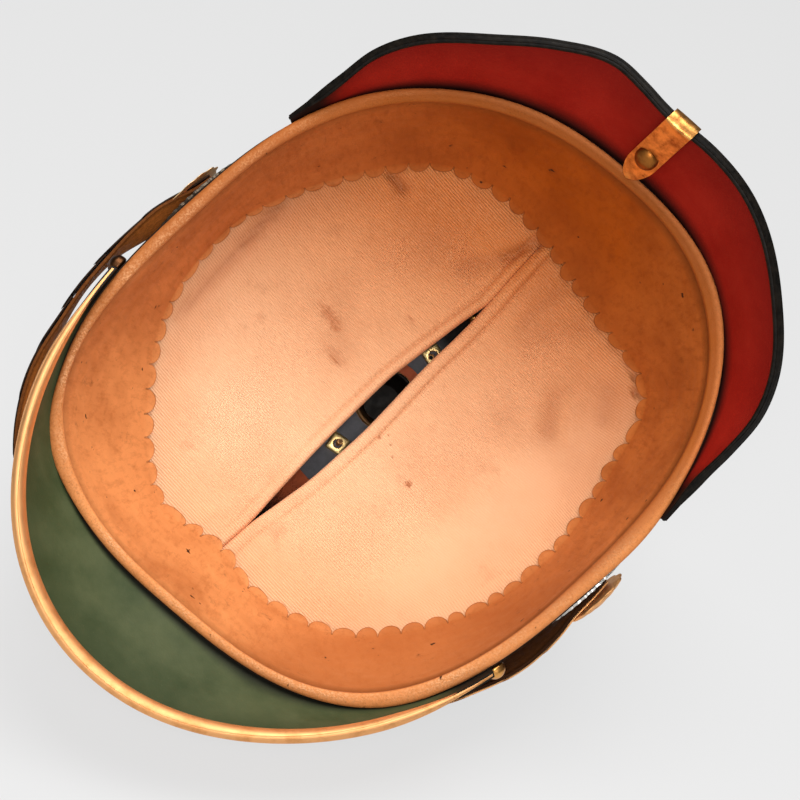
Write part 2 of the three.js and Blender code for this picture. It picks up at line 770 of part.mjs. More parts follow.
// A ring of sections whose edge, from corner `inner` to the next one, carries a tongue on each
// panel: two tips on the inner face and two on the outer one.
function scallopedRing(sections, inner, tipsOf) {
  const corners = sections[0].length;
  const count = sections.length;
  const points = [...sections.flat(), ...sections.flatMap((_, i) => tipsOf(i))];
  const faces = [];
  const quad = (a, b, c, d) => faces.push(a, b, d, b, c, d);
  for (let i = 0; i < count; i += 1) {
    const here = (k) => i * corners + (k % corners);
    const next = (k) => ((i + 1) % count) * corners + (k % corners);
    for (let k = 0; k < corners; k += 1) {
      if (k !== inner) quad(here(k), here(k + 1), next(k + 1), next(k));
    }
    const tip = count * corners + 4 * i;
    const [nearIn, farIn, nearOut, farOut] = [tip, tip + 1, tip + 2, tip + 3];
    quad(here(inner), nearIn, farIn, next(inner));
    quad(nearIn, nearOut, farOut, farIn);
    quad(nearOut, here(inner + 1), next(inner + 1), farOut);
    quad(here(inner), here(inner + 1), nearOut, nearIn);
    quad(farIn, farOut, next(inner + 1), next(inner));
  }
  return new THREE.BufferGeometry().setFromPoints(points).setIndex(faces);
}

const scallopPitch = (2 * Math.PI) / scallops;

function scallopTips(index) {
  const near = (index + 0.5 - scallopTip) * scallopPitch;
  const far = (index + 0.5 + scallopTip) * scallopPitch;
  const spots = [[near, 0], [far, 0], [near, bandLeather], [far, bandLeather]];
  return spots.map(([bearing, depth]) => bandEdge(bearing, scallopDepth, depth));
}

const bandSections = Array.from({ length: scallops }, (_, index) => bandSection(index * scallopPitch));
const edgeCorner = 4;
add('sweatband', scallopedRing(bandSections, edgeCorner, scallopTips), tanLeather);

// Lining: two silk panels, tucked behind the scallops and rising to a slit along the middle
const silkFoot = bandHeight + scallopDepth + 1;

function silkRim(bearing) {
  return rimRadius(bearing) - bandProfile(bearing).inset + silkTuck;
}

function silkHeight(x, y) {
  const bearing = Math.atan2(x, -y);
  const share = Math.hypot(x, y) / silkRim(bearing);
  return silkFoot + silkRise * (1 - share ** 2);
}

// Half-width of the slit, pointed at both ends
function slitHalf(y) {
  const share = THREE.MathUtils.clamp((y - slitFront) / (slitRear - slitFront), 0, 1);
  return silkMeeting / 2 + ((slitWidth - silkMeeting) / 2) * Math.sin(Math.PI * share);
}

// How far a panel reaches sideways at a distance along the head, found by halving the bearing.
function silkReach(y, sign) {
  let ahead = 0;
  let behind = Math.PI;
  for (let i = 0; i < 40; i += 1) {
    const half = (ahead + behind) / 2;
    if (-silkRim(sign * half) * Math.cos(half) < y) ahead = half;
    else behind = half;
  }
  return silkRim(sign * ahead) * Math.sin(ahead);
}

const silkFront = -silkRim(0) + silkMeeting;
const silkRear = silkRim(Math.PI) - silkMeeting;
const silkNarrowest = 4;
const silkLanes = evenSteps(0, 1, 5);

for (const { side, sign } of sides) {
  const sections = evenSteps(0, 1, 14).map((share) => {
    const y = lerp(silkFront, silkRear, (1 - Math.cos(Math.PI * share)) / 2);
    const near = slitHalf(y);
    const far = Math.max(silkReach(y, sign), near + silkNarrowest);
    const lanes = silkLanes.map((lane) => {
      const x = sign * lerp(near, far, lane);
      return new THREE.Vector3(x, y, silkHeight(x, y));
    });
    const above = lanes.toReversed().map((point) => point.clone().setZ(point.z + silk));
    return [...lanes, ...above];
  });
  add(`lining_${side}`, strip(sections), peachSilk);
}

// A plate that follows the skull about a seat: `outline` gives rows of [radius, thickness] at an
// angle round the seat, from its hole to its edge.
function platePoint(seatBearing, seatHeight, radius, angle, lift) {
  const across = radius * Math.cos(angle);
  const upward = radius * Math.sin(angle);
  const rise = climb(seatBearing, riseAtHeight(seatHeight), upward);
  const level = shellPoint(seatBearing, rise, 0);
  const bearing = seatBearing + across / Math.hypot(level.x, level.y);
  const { point, normal } = shellSeat(bearing, rise);
  return point.addScaledVector(normal, lift);
}

// The rise that lies a distance up the skull from another rise.
function climb(bearing, rise, distance) {
  const steps = 24;
  let here = rise;
  for (let i = 0; i < steps; i += 1) {
    const nudge = 0.001;
    const pace = shellPoint(bearing, here + nudge, 0).distanceTo(shellPoint(bearing, here, 0)) / nudge;
    here += distance / steps / pace;
  }
  return here;
}

function shellPlate(seatBearing, seatHeight, stand, angles, outline) {
  return ring((angle) => {
    const rows = outline(angle);
    const under = rows.map(([radius]) => platePoint(seatBearing, seatHeight, radius, angle, stand));
    const over = rows.toReversed().map(([radius, thickness]) => {
      return platePoint(seatBearing, seatHeight, radius, angle, stand + thickness);
    });
    return [...under, ...over];
  }, angles);
}

// Front plate: eight plain rays round a domed boss
function plateRows(angle) {
  const onRay = Math.round((angle * plateRays) / Math.PI) % 2 === 0;
  const edge = onRay ? plateTip : plateValley;
  const ridge = onRay ? 2 * plateThickness : plateThickness;
  return [[plateHole, plateHub], [0.45 * edge, ridge], [0.72 * edge, ridge], [edge, plateThickness]];
}

add('front_plate', shellPlate(0, plateHeight, plateStand, 2 * plateRays, plateRows), brass);
const bossFoot = plateStand + plateHub + fit;
const bossPost = plateHole - 2 * fit;
const bossProfile = [
  [0, 2 * fit],
  [bossPost, 2 * fit],
  [bossPost, bossFoot],
  [plateHole + bossRim, bossFoot],
  [plateHole + 0.7 * bossRim, bossFoot + 0.3 * bossHeight],
  [plateHole - bossRim, bossFoot + 0.8 * bossHeight],
  [0, bossFoot + bossHeight],
];
const plateSeat = shellSeat(0, riseAtHeight(plateHeight));
addSeated('front_plate_boss', turned(bossProfile, spikeSides), brass, plateSeat);

// Chin strap and scales: strips along one path, given by the face that they share
const strapColumns = Object.fromEntries(
  ['stand', 'height', 'width', 'lean'].map((name) => [name, column(strapPath, name)]),
);

function strapMiddle(degrees) {
  const bearing = radians(degrees);
  const height = strapColumns.height(degrees);
  const wall = shellPoint(bearing, riseAtHeight(Math.max(height, 0)), 0);
  const radius = Math.hypot(wall.x, wall.y) + strapColumns.stand(degrees);
  return at(bearing, radius, height);
}

function strapStation(degrees) {
  const step = 0.2;
  const ahead = strapMiddle(degrees + step).sub(strapMiddle(degrees - step)).setZ(0).normalize();
  const level = new THREE.Vector3(ahead.y, -ahead.x, 0);
  const lean = radians(strapColumns.lean(degrees));
  const outward = level.clone().multiplyScalar(Math.cos(lean)).setZ(Math.sin(lean));
  const upward = level.clone().multiplyScalar(-Math.sin(lean)).setZ(Math.cos(lean));
  return { middle: strapMiddle(degrees), outward, upward, half: strapColumns.width(degrees) / 2 };
}

function strapCorner({ middle: centre, outward, upward, half }, up, out) {
  return centre.clone().addScaledVector(upward, up * half).addScaledVector(outward, out);
}

const strapBearings = strapPath.flatMap(({ bearing }, i) => {
  return i === 0 ? [bearing] : [(strapPath[i - 1].bearing + bearing) / 2, bearing];
});
const strapSections = strapBearings.map((degrees) => {
  const station = strapStation(degrees);
  const corners = [[-1, 0], [1, 0], [1, strapLeather], [-1, strapLeather]];
  return corners.map(([up, out]) => strapCorner(station, up, out));
});
const fittingBores = sides.map(({ seat }) => boreAt(seat, rosettePost + fit, fittingBore.low, fittingBore.high));
add('chin_strap', cut(strip(strapSections), fittingBores), brownLeather);

// Scales: each one starts under the next and ends proud of it
function scaleSection(degrees, proud) {
  const station = strapStation(degrees);
  const foot = strapLeather + scaleSeat;
  const top = foot + scaleThickness + proud;
  const corners = [
    [-scaleWidth, foot],
    [scaleWidth, foot],
    [scaleWidth, top - scaleChamfer],
    [0.5 * scaleWidth, top],
    [-0.5 * scaleWidth, top],
    [-scaleWidth, top - scaleChamfer],
  ];
  return corners.map(([up, out]) => strapCorner(station, up, out));
}

for (const { side, sign } of sides) {
  const scaled = fittingBearing - rosetteFree;
  const pitch = (scaled - scalesStart) / scalesEachSide;
  const sections = [];
  for (let i = 0; i < scalesEachSide; i += 1) {
    const start = scalesStart + i * pitch;
    sections.push(...scaleSteps.map(({ along, proud }) => {
      return scaleSection(sign * (start + pitch * along), scaleLip * proud);
    }));
  }
  const plain = [...scalePlain, fittingBearing, strapEnd];
  sections.push(...plain.map((degrees) => scaleSection(sign * degrees, 0)));
  add(`chin_scales_${side}`, cut(strip(sections), fittingBores), brass);
}

// Side fittings: a cockade against the shell, and the rosette that pins the strap over it
const rosetteFoot = strapColumns.stand(fittingBearing) + strapLeather + scaleSeat + scaleThickness + fit;
const rosetteProfile = [
  [0, 2 * fit],
  [rosettePost, 2 * fit],
  [rosettePost, rosetteFoot],
  [rosetteRadius - 1, rosetteFoot],
  [rosetteRadius, rosetteFoot + 1.2],
  [rosetteRadius * 0.72, rosetteFoot + rosetteHeight * 0.62],
  [rosetteRadius * 0.4, rosetteFoot + rosetteHeight * 0.7],
  [rosetteRadius * 0.3, rosetteFoot + rosetteHeight],
  [0, rosetteFoot + rosetteHeight],
];

function cockadeRows() {
  return [
    [rosettePost + fit, cockadeThickness],
    [0.72 * cockadeRadius, cockadeThickness],
    [cockadeRadius, 0.6 * cockadeThickness],
  ];
}

for (const { side, bearing, seat } of sides) {
  add(`cockade_${side}`, shellPlate(bearing, fittingHeight, fit, cockadeAngles, cockadeRows), silver);
  addSeated(`rosette_${side}`, turned(rosetteProfile, knobSides), brass, seat);
}

// Lay the helmet down and set it on its lowest point, middle over the origin.
helmet.rotation.set(radians(-90 - openingElevation), 0, radians(downBearing - 180));
helmet.updateMatrixWorld(true);
const laid = new THREE.Box3().setFromObject(helmet, true);
const centre = laid.getCenter(new THREE.Vector3());
helmet.position.set(-centre.x, -centre.y, -laid.min.z);

const part = new THREE.Group();
part.add(helmet);
export default part;
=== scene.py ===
# %% [markdown]
# # A spiked leather helmet, lying upturned
# This lesson dresses the packed model of an old officers' helmet. It lies on the right front of its
# skull and shows its inside: a tan sweatband with a scalloped edge, a ribbed silk lining with a slit,
# a green and a red visor, and brass fittings. Every piece is a surface over two parameters, worked out
# with numpy as whole arrays and handed to Blender as one mesh. The packed model comes first, because
# everything has to sit where its solids sit.

# %% Load the packed model
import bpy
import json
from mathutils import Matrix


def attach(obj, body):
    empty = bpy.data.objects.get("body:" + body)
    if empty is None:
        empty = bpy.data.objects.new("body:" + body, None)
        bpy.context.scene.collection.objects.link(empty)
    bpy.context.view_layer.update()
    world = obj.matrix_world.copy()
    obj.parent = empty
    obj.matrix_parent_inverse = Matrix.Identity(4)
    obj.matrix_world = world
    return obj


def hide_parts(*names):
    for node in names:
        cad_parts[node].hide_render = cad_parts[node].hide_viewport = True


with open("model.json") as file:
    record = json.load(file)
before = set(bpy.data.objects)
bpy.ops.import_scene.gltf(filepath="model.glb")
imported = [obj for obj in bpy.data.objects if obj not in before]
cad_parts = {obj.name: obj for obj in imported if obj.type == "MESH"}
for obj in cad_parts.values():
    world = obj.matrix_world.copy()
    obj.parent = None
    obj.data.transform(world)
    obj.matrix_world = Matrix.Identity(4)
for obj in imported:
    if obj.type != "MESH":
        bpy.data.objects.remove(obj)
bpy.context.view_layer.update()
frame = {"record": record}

# %% [markdown]
# ## The helmet's own axes
# The pieces are easier to think about on an upright helmet, in millimetres: +X is the wearer's left,
# -Y the front and +Z up, with the origin in the middle of the rim. The model lies down, so each
# finished point is turned by two angles and moved to the rim's middle, which the record states as the
# place where a head goes in. Doing this in the mesh keeps every object at the origin, unturned.

# %% From helmet millimetres to the frame
import json
import math
import bpy
import numpy as np
from mathutils import Matrix

DOWN_BEARING = 35.3
OPENING_ELEVATION = 32.1
SPIKE_TOP = 233.0
rim_centre = np.array(frame["record"]["mounts"][0]["pos_m"])
tip_over = Matrix.Rotation(math.radians(-90 - OPENING_ELEVATION), 3, "X")
turn_round = Matrix.Rotation(math.radians(DOWN_BEARING - 180), 3, "Z")
lay_down = np.array(tip_over @ turn_round)


def laid(points):
    """Helmet millimetres to frame metres: turned as the helmet lies, moved to the rim's middle."""
    return np.asarray(points, float) / 1000 @ lay_down.T + rim_centre


print("middle of the rim", laid([0, 0, 0]).round(4), "tip of the spike", laid([0, 0, SPIKE_TOP]).round(4))

# %% [markdown]
# ## From a grid to a mesh
# A surface over two parameters is a grid of points: rows along the piece, columns round its section.
# Each quad joins four neighbours. The section always closes on itself; the rows either close too, as
# on a ring, or end in flat caps. Blender takes the corners fastest as flat arrays through foreach_set.
# The enclosed volume tells whether the faces look out, and turns them round if they don't. Each point
# also keeps its upright place as an attribute, so that grain and stains lie still on the piece.

# %% Build one piece
def grid_quads(rows, columns, ring):
    """Quad corners (r, c), (r, c+1), (r+1, c+1), (r+1, c); columns wrap, and rows do on a ring."""
    r, c = np.meshgrid(np.arange(rows if ring else rows - 1), np.arange(columns), indexing="ij")
    below, beside = (r + 1) % rows * columns, (c + 1) % columns
    corners = [r * columns + c, r * columns + beside, below + beside, below + c]
    return np.stack(corners, axis=-1).reshape(-1, 4)


def fan_volume(points, faces):
    """Six times the volume under the faces: the sum of a . (b x c) over the fan of each face."""
    a, b, c = points[faces[:, :1]], points[faces[:, 1:-1]], points[faces[:, 2:]]
    return np.sum(a * np.cross(b, c))


def make_mesh(name, points, face_sets):
    """A mesh from points and arrays of faces with equal numbers of corners."""
    mesh = bpy.data.meshes.new(name)
    mesh.vertices.add(len(points))
    mesh.vertices.foreach_set("co", points.astype(np.float32).ravel())
    corners = np.concatenate([faces.ravel() for faces in face_sets])
    counts = np.concatenate([np.full(len(faces), faces.shape[1]) for faces in face_sets])
    mesh.loops.add(len(corners))
    mesh.loops.foreach_set("vertex_index", corners.astype(np.int32))
    mesh.polygons.add(len(counts))
    mesh.polygons.foreach_set("loop_start", (np.cumsum(counts) - counts).astype(np.int32))
    mesh.update(calc_edges=True)
    return mesh


def add_piece(name, grid, finishes, ring=False, finish_of=0, cap_finish=0, traits=None, crease=40):
    """A piece from a (rows, columns, 3) grid in helmet millimetres, or from several alike in one
    (copies, rows, columns, 3) grid. finish_of gives the finish of each column, cap_finish of the ends."""
    grid = np.asarray(grid, float)
    grid = grid[None] if grid.ndim == 3 else grid
    copies, rows, columns = grid.shape[:3]
    quads = grid_quads(rows, columns, ring)
    edge = np.arange(columns)
    caps = np.stack([edge[::-1], edge + (rows - 1) * columns])[: 0 if ring else 2]
    first = grid[0].reshape(-1, 3)
    if fan_volume(first, quads) + fan_volume(first, caps) < 0:
        quads, caps = quads[:, ::-1], caps[:, ::-1]
    shift = (np.arange(copies) * rows * columns)[:, None, None]
    face_sets = [(quads + shift).reshape(-1, 4), (caps + shift).reshape(-1, columns)]
    upright = grid.reshape(-1, 3)
    mesh = make_mesh(name, laid(upright), face_sets)
    mesh.polygons.foreach_set("use_smooth", np.ones(len(mesh.polygons), bool))
    mesh.set_sharp_from_angle(angle=math.radians(crease))
    for finish in finishes:
        mesh.materials.append(finish)
    of_quads = np.tile(np.broadcast_to(finish_of, columns), len(quads) // columns * copies)
    of_caps = np.full(len(caps) * copies, cap_finish)
    mesh.polygons.foreach_set("material_index", np.concatenate([of_quads, of_caps]).astype(np.int32))
    helmet = mesh.attributes.new("helmet", "FLOAT_VECTOR", "POINT")
    helmet.data.foreach_set("vector", upright.astype(np.float32).ravel())
    for trait, values in (traits or {}).items():
        layer = mesh.attributes.new(trait, "FLOAT", "POINT")
        layer.data.foreach_set("value", np.broadcast_to(values, grid.shape[:3]).astype(np.float32).ravel())
    piece = bpy.data.objects.new(name + "_dressed", mesh)
    bpy.context.scene.collection.objects.link(piece)
    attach(piece, "root")
    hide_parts(name)
    mesh.calc_loop_triangles()
    print(name, "has", len(mesh.loop_triangles), "triangles")
    return piece


# %% [markdown]
# ## A short way to write node finishes
# A finish is a Principled shader with a few textures in front of it. Writing every node and link out
# in full hides the idea, so this small class adds one node per call and returns its output. Sizes of
# patterns are given in millimetres of the upright helmet. What is the same all over is set straight on
# the shader's own socket.

# %% Finish helper
class Finish:
    """A node material that grows by short calls, each of which adds a node."""

    def __init__(self, name, **constants):
        """A new material; each constant sets the shader's socket of that name."""
        self.material = bpy.data.materials.new(name)
        self.material.use_nodes = True
        self.tree = self.material.node_tree
        self.shader = self.tree.nodes["Principled BSDF"]
        for socket, value in constants.items():
            self.shader.inputs[socket.replace("_", " ")].default_value = value
        self.place = self.add("Attribute", "Vector", attribute_name="helmet")

    def add(self, kind, output, inputs=None, **settings):
        """A new node with these settings and inputs; gives back one of its outputs."""
        node = self.tree.nodes.new("ShaderNode" + kind)
        for key, value in settings.items():
            setattr(node, key, value)
        for key, value in (inputs or {}).items():
            self.feed(node.inputs[key], value)
        return node.outputs[output]

    def feed(self, socket, value):
        """An output is linked to the socket; anything else becomes the socket's own value."""
        if isinstance(value, bpy.types.NodeSocket):
            self.tree.links.new(value, socket)
        else:
            socket.default_value = value

    def trait(self, name):
        """The value that each point carries under this name."""
        return self.add("Attribute", "Fac", attribute_name=name)

    def stretched(self, x, y, z):
        """The upright place, multiplied along each axis."""
        return self.add("Mapping", 0, {"Vector": self.place, "Scale": (x, y, z)})

    def cloud(self, size, detail=3, rough=0.55, place=None):
        """Soft noise whose largest lumps are about size millimetres across."""
        inputs = {"Vector": place or self.place, "Scale": 1 / size, "Detail": detail, "Roughness": rough}
        return self.add("TexNoise", 0, inputs)

    def toward(self, x, y, low, high):
        """0 to 1 along a level direction of the helmet, between two distances in millimetres."""
        way = self.add("VectorMath", "Value", {0: self.place, 1: (x, y, 0)}, operation="DOT_PRODUCT")
        return self.span(way, low, high)

    def cells(self, size):
        """Pebbles of about size millimetres."""
        return self.add("TexVoronoi", "Distance", {"Vector": self.place, "Scale": 1 / size})

    def span(self, value, low, high, first=0.0, last=1.0, curve="LINEAR"):
        """A value between low and high, brought to the range from first to last, straight or by a curve."""
        inputs = {0: value, 1: low, 2: high, 3: first, 4: last}
        return self.add("MapRange", 0, inputs, interpolation_type=curve)

    def reckon(self, operation, a, b):
        """One sum of two values, such as their product or the larger one."""
        return self.add("Math", 0, {0: a, 1: b}, operation=operation)

    def mix(self, share, first, second):
        """Two colours blended by share."""
        return self.add("Mix", 2, {0: share, 6: first, 7: second}, data_type="RGBA")

    def colour(self, value):
        """What the shader takes as its base colour."""
        self.feed(self.shader.inputs["Base Color"], value)

    def gloss(self, value):
        """What the shader takes as its roughness."""
        self.feed(self.shader.inputs["Roughness"], value)

    def relief(self, *layers):
        """Bump from (height, depth in millimetres) layers, one on top of another."""
        normal = None
        for height, depth in layers:
            inputs = {"Height": height, "Distance": depth / 1000, "Strength": 1.0}
            inputs.update({"Normal": normal} if normal else {})
            normal = self.add("Bump", 0, inputs)
        self.feed(self.shader.inputs["Normal"], normal)


print("finishes are written with", [n for n in vars(Finish) if not n.startswith("_")])

# %% [markdown]
# ## The skull's shape
# The skull is pressed from thick leather: an oval rim that has set to a head, and a crown that becomes
# round towards the spike. A superellipse gives the rim, because it is fuller at the corners than an
# ellipse, and a second one gives the profile. Both are one formula over bearing and rise, so anything
# that sits on the skull can ask it for a point and a direction.

# %% Rim and skull formulas
RIM_WIDTH, RIM_LENGTH = 192.7, 220.3
SHELL_HEIGHT, CROWN_RADIUS, DOME = 135, 103, 2.4
LEATHER = 2.5
FIT = 0.35
TURN = 2 * np.pi


def around(bearing, radius, height):
    """A point by bearing (0 front, 90 degrees left), distance from the axis, and height."""
    bearing, radius, height = np.broadcast_arrays(bearing, radius, height)
    return np.stack([radius * np.sin(bearing), -radius * np.cos(bearing), height], axis=-1)


def ease(value, low, high):
    """0 below low, 1 above high, and 3s^2 - 2s^3 in between."""
    share = np.clip((value - low) / (high - low), 0, 1)
    return share * share * (3 - 2 * share)


def bell(bearing, middle, width):
    """A bell round the rim, 1 at the middle bearing; middle and width are in degrees."""
    off = (np.degrees(bearing) - middle + 180) % 360 - 180
    return np.exp(-((off / width) ** 2))


def rim_radius(bearing):
    """A superellipse, fuller in front, plus two sines for the way that it has set askew."""
    power = np.where(np.cos(bearing) > 0, 2.8, 2.29)
    across = np.abs(np.sin(bearing)) / (RIM_WIDTH / 2)
    along = np.abs(np.cos(bearing)) / (RIM_LENGTH / 2)
    oval = (across**power + along**power) ** (-1 / power)
    return oval + 3.6 * np.sin(2 * bearing) + 1.3 * np.sin(4 * bearing)


def skull(bearing, rise, inset=0.0):
    """Radius runs with cos(rise)^(2/2.4) and height with sin(rise)^(2/2.4), oval low and round high."""
    inward = np.clip(np.cos(rise), 0, 1) ** (2 / DOME)
    upward = np.clip(np.sin(rise), 0, 1) ** (2 / DOME)
    oval = ease(inward, 0.45, 0.8)
    plan = CROWN_RADIUS + (rim_radius(bearing) - CROWN_RADIUS) * oval - inset
    return around(bearing, plan * inward, (SHELL_HEIGHT - inset) * upward)


def rise_at_height(height):
    """The rise at a height: the profile's power formula solved for the rise."""
    return np.arcsin((height / SHELL_HEIGHT) ** (DOME / 2))


def rise_at_radius(radius, inset=0.0):
    """The rise at a distance from the axis, solved the same way on the round part of the crown."""
    return np.arccos((radius / (CROWN_RADIUS - inset)) ** (DOME / 2))


def crown_height(radius, inset=0.0):
    """Height of the round crown at a distance from the axis, by the profile's superellipse."""
    share = (radius / (CROWN_RADIUS - inset)) ** DOME
    return (SHELL_HEIGHT - inset) * (1 - share) ** (1 / DOME)


def unit(vectors):
    """Vectors divided by their own lengths."""
    return vectors / np.linalg.norm(vectors, axis=-1, keepdims=True)


def skull_out(bearing, rise):
    """The direction straight out of the leather: the cross product of the two surface tangents."""
    step = 1e-3
    along = skull(bearing + step, rise) - skull(bearing - step, rise)
    up = skull(bearing, rise + step) - skull(bearing, rise - step)
    return unit(np.cross(along, up))


print("girth of the rim", round(float(np.mean(rim_radius(np.linspace(0, TURN, 720)))) * TURN), "mm")

# %% [markdown]
# ## Black lacquer and raw leather
# Outside, the leather was blackened and lacquered until it shone; age has crazed it and dulled it in
# patches. Inside it stayed raw and reddish brown. The lacquer is a dark shader under a clear coat, with
# pebbled grain and scuffs from noise. The raw side is rough and has long fibres.

# %% Leather finishes of the skull
def black_lacquer():
    """Near black mixed with worn brown by large noise; the bump is pebbles and two noises."""
    f = Finish("black_lacquer", Coat_Weight=0.35, Coat_Roughness=0.12)
    wear = f.span(f.cloud(26, 6, 0.65), 0.52, 0.72)
    f.colour(f.mix(wear, (0.012, 0.010, 0.009, 1), (0.045, 0.034, 0.026, 1)))
    f.gloss(f.span(f.cloud(9, 5), 0.3, 0.75, 0.24, 0.52))
    f.relief((f.cells(1.6), 0.06), (f.cloud(5, 5), 0.12), (f.cloud(40, 2), 0.5))
    return f.material


def raw_leather():
    """Two red browns mixed by stretched noise, stained by large noise, and painted black as shade towards
    both ends.
    """
    f = Finish("raw_leather", Specular_IOR_Level=0.3)
    fibre = f.cloud(1.4, 5, 0.7, f.stretched(1, 0.25, 1))
    dry = f.mix(fibre, (0.62, 0.110, 0.036, 1), (0.95, 0.200, 0.070, 1))
    dry = f.mix(f.span(f.cloud(18, 4), 0.45, 0.75), dry, (0.32, 0.070, 0.026, 1))
    # Painted shade: the raw leather turns black towards both ends of the slit, where the lining shades it.
    ends = f.reckon("MAXIMUM", f.toward(0, 1, 30, 40), f.toward(0, -1, 52, 64))
    f.colour(f.mix(ends, dry, (0.030, 0.018, 0.012, 1)))
    f.gloss(f.span(fibre, 0.3, 0.8, 0.55, 0.85))
    f.relief((fibre, 0.25), (f.cloud(6, 4), 0.4))
    return f.material


def cut_edge_and_shade():
    """Two near blacks mixed by fine noise, rough all over."""
    f = Finish("cut_edge_and_shade", Specular_IOR_Level=0.08)
    f.colour(f.mix(f.cloud(2.5, 5, 0.7), (0.006, 0.004, 0.003, 1), (0.040, 0.020, 0.011, 1)))
    f.gloss(f.span(f.cloud(1.5, 4), 0.3, 0.7, 0.6, 0.9))
    f.relief((f.cloud(1.0, 4), 0.12))
    return f.material


lacquer, raw_side, dark_edge_and_shade = black_lacquer(), raw_leather(), cut_edge_and_shade()
print("made", lacquer.name, raw_side.name, "and", dark_edge_and_shade.name)

# %% [markdown]
# ## Skull
# The skull is a bowl with a wall: its section runs up the outer face, over the edge of the spike's
# hole and down the inner face. Carried round all bearings it closes into a ring, with no pole to pinch.

# %% Make the skull
CROWN_HOLE = 12.4
OUTER_POINTS, INNER_POINTS, SKULL_BEARINGS = 84, 72, 240


def skull_section():
    """Rises from the rim to the hole on the outer face, then back on the inner face."""
    outer = np.linspace(0, rise_at_radius(CROWN_HOLE), OUTER_POINTS)
    inner = np.linspace(rise_at_radius(CROWN_HOLE, LEATHER), 0, INNER_POINTS)
    return np.concatenate([outer, inner]), np.repeat([0.0, LEATHER], [OUTER_POINTS, INNER_POINTS])


bearings = np.linspace(0, TURN, SKULL_BEARINGS, endpoint=False)[:, None]
rise, inset = skull_section()
face = np.where(np.arange(len(rise)) >= OUTER_POINTS, 1, 0)
face[[0, 1, -1]] = 2
add_piece("shell", skull(bearings, rise, inset), [lacquer, raw_side, dark_edge_and_shade],
          ring=True, finish_of=face)

# %% [markdown]
# ## Turned pieces and seats
# Spike, studs, nuts, rivets and rosettes are all turned about an axis: a profile of radius and height
# carried round a circle. Letting the radius swell with the angle gives stars, squares and petals from
# the same formula. A turned piece stands on its own axis and is then set on a seat: tipped the short
# way from upright to the seat's direction.

# %% Turning and seating
def smooth_path(points, steps, closed=False):
    """A Catmull-Rom curve: each span is a cubic with end slopes half the step between neighbours."""
    p = np.asarray(points, float)
    if closed:
        a, b, c, d = np.roll(p, 1, 0), p, np.roll(p, -1, 0), np.roll(p, -2, 0)
    else:
        p = np.concatenate([2 * p[:1] - p[1:2], p, 2 * p[-1:] - p[-2:-1]])
        a, b, c, d = p[:-3], p[1:-2], p[2:-1], p[3:]
    t = np.linspace(0, 1, steps, endpoint=False)[:, None, None]
    curve = b + 0.5 * t * (c - a + t * (2 * a - 5 * b + 4 * c - d + t * (3 * b - a - 3 * c + d)))
    curve = curve.swapaxes(0, 1).reshape(-1, p.shape[1])
    return curve if closed else np.concatenate([curve, p[-2:-1]])


def turned(profile, sides=64, swell=1.0):
    """Rows of (radius, height) carried round +Z; swell multiplies the radius by row and angle."""
    profile = np.asarray(profile, float)
    angle = np.linspace(0, TURN, sides, endpoint=False)
    radius = profile[:, :1] * swell * np.ones(sides)
    height = np.broadcast_to(profile[:, 1:2], radius.shape)
    return np.stack([radius * np.cos(angle), radius * np.sin(angle), height], axis=-1)


def seated(points, seat, out, spin=0.0):
    """Spin about +Z, tip the short way from +Z to the direction out, and move to the seat."""
    turn = np.array(Matrix.Rotation(spin, 3, "Z"))
    lever = np.array([[0, 0, out[0]], [0, 0, out[1]], [-out[0], -out[1], 0]])
    tip = np.eye(3) + lever + lever @ lever / (1 + out[2])
    return points @ (tip @ turn).T + seat


def square(sides, power=14):
    """How far a square with soft corners reaches past its inner circle at each angle."""
    angle = np.linspace(0, TURN, sides, endpoint=False)
    return (np.abs(np.cos(angle)) ** power + np.abs(np.sin(angle)) ** power) ** (-1 / power)


def star(sides, points, valley):
    """1 at the points, falling in straight lines to valley between them."""
    angle = np.linspace(0, TURN, sides, endpoint=False)
    off = np.abs((angle * points / TURN + 0.5) % 1 - 0.5) * 2
    return valley / (valley + (1 - valley) * off)


print("a square reaches", square(64).max().round(3), "times its inner circle at its corners")
print("a star reaches", star(48, 6, 0.62).min().round(2), "times its points' circle between them")

# %% [markdown]
# ## Brass
# The spike, the front trim and the scales are polished brass that has been handled for a century:
# bright where it is rubbed, dark brown in low places, which carry an attribute for it. The spine and the
# rivets have tarnished to a coppery colour, and metal on the left is painted darker as shade. The inside
# of the spike base is painted black as shade. The nuts are paler, of brass and of tin, the cockades were
# silvered, and the left rosette is a paler brass as a painted highlight. Metal takes its colour from its
# base colour and its life from uneven roughness.

# %% Brass and silver finishes
def polished_brass(name, bright, dull):
    """Bright mixed with dull by noise, and with dark brown by the attribute for low places."""
    f = Finish(name, Metallic=1.0)
    rubbed = f.mix(f.span(f.cloud(7, 6, 0.65), 0.5, 0.78), bright, dull)
    f.colour(f.mix(f.trait("low"), rubbed, (0.16, 0.055, 0.016, 1)))
    f.gloss(f.span(f.cloud(6, 4, 0.6), 0.3, 0.75, 0.54, 0.64))
    f.relief((f.cloud(12, 2), 0.05))
    return f.material


def aged_brass(name, rubbed, tarnished):
    """Rubbed mixed with tarnished by noise, with dark spots, and painted dark towards the left as shade."""
    f = Finish(name, Metallic=1.0)
    stain = f.span(f.cloud(4, 4, 0.6), 0.4, 0.7)
    warm = f.mix(stain, rubbed, tarnished)
    warm = f.mix(f.span(f.cloud(2.0, 3), 0.66, 0.82), warm, (0.12, 0.05, 0.02, 1))
    # Painted shade: metal on the left, such as the left visor rivet, is darkened.
    f.colour(f.mix(f.toward(1, 0, 30, 60), warm, (0.10, 0.04, 0.016, 1)))
    f.gloss(f.span(f.cloud(2.5, 5), 0.3, 0.75, 0.28, 0.48))
    f.relief((f.cloud(9, 2), 0.06))
    return f.material


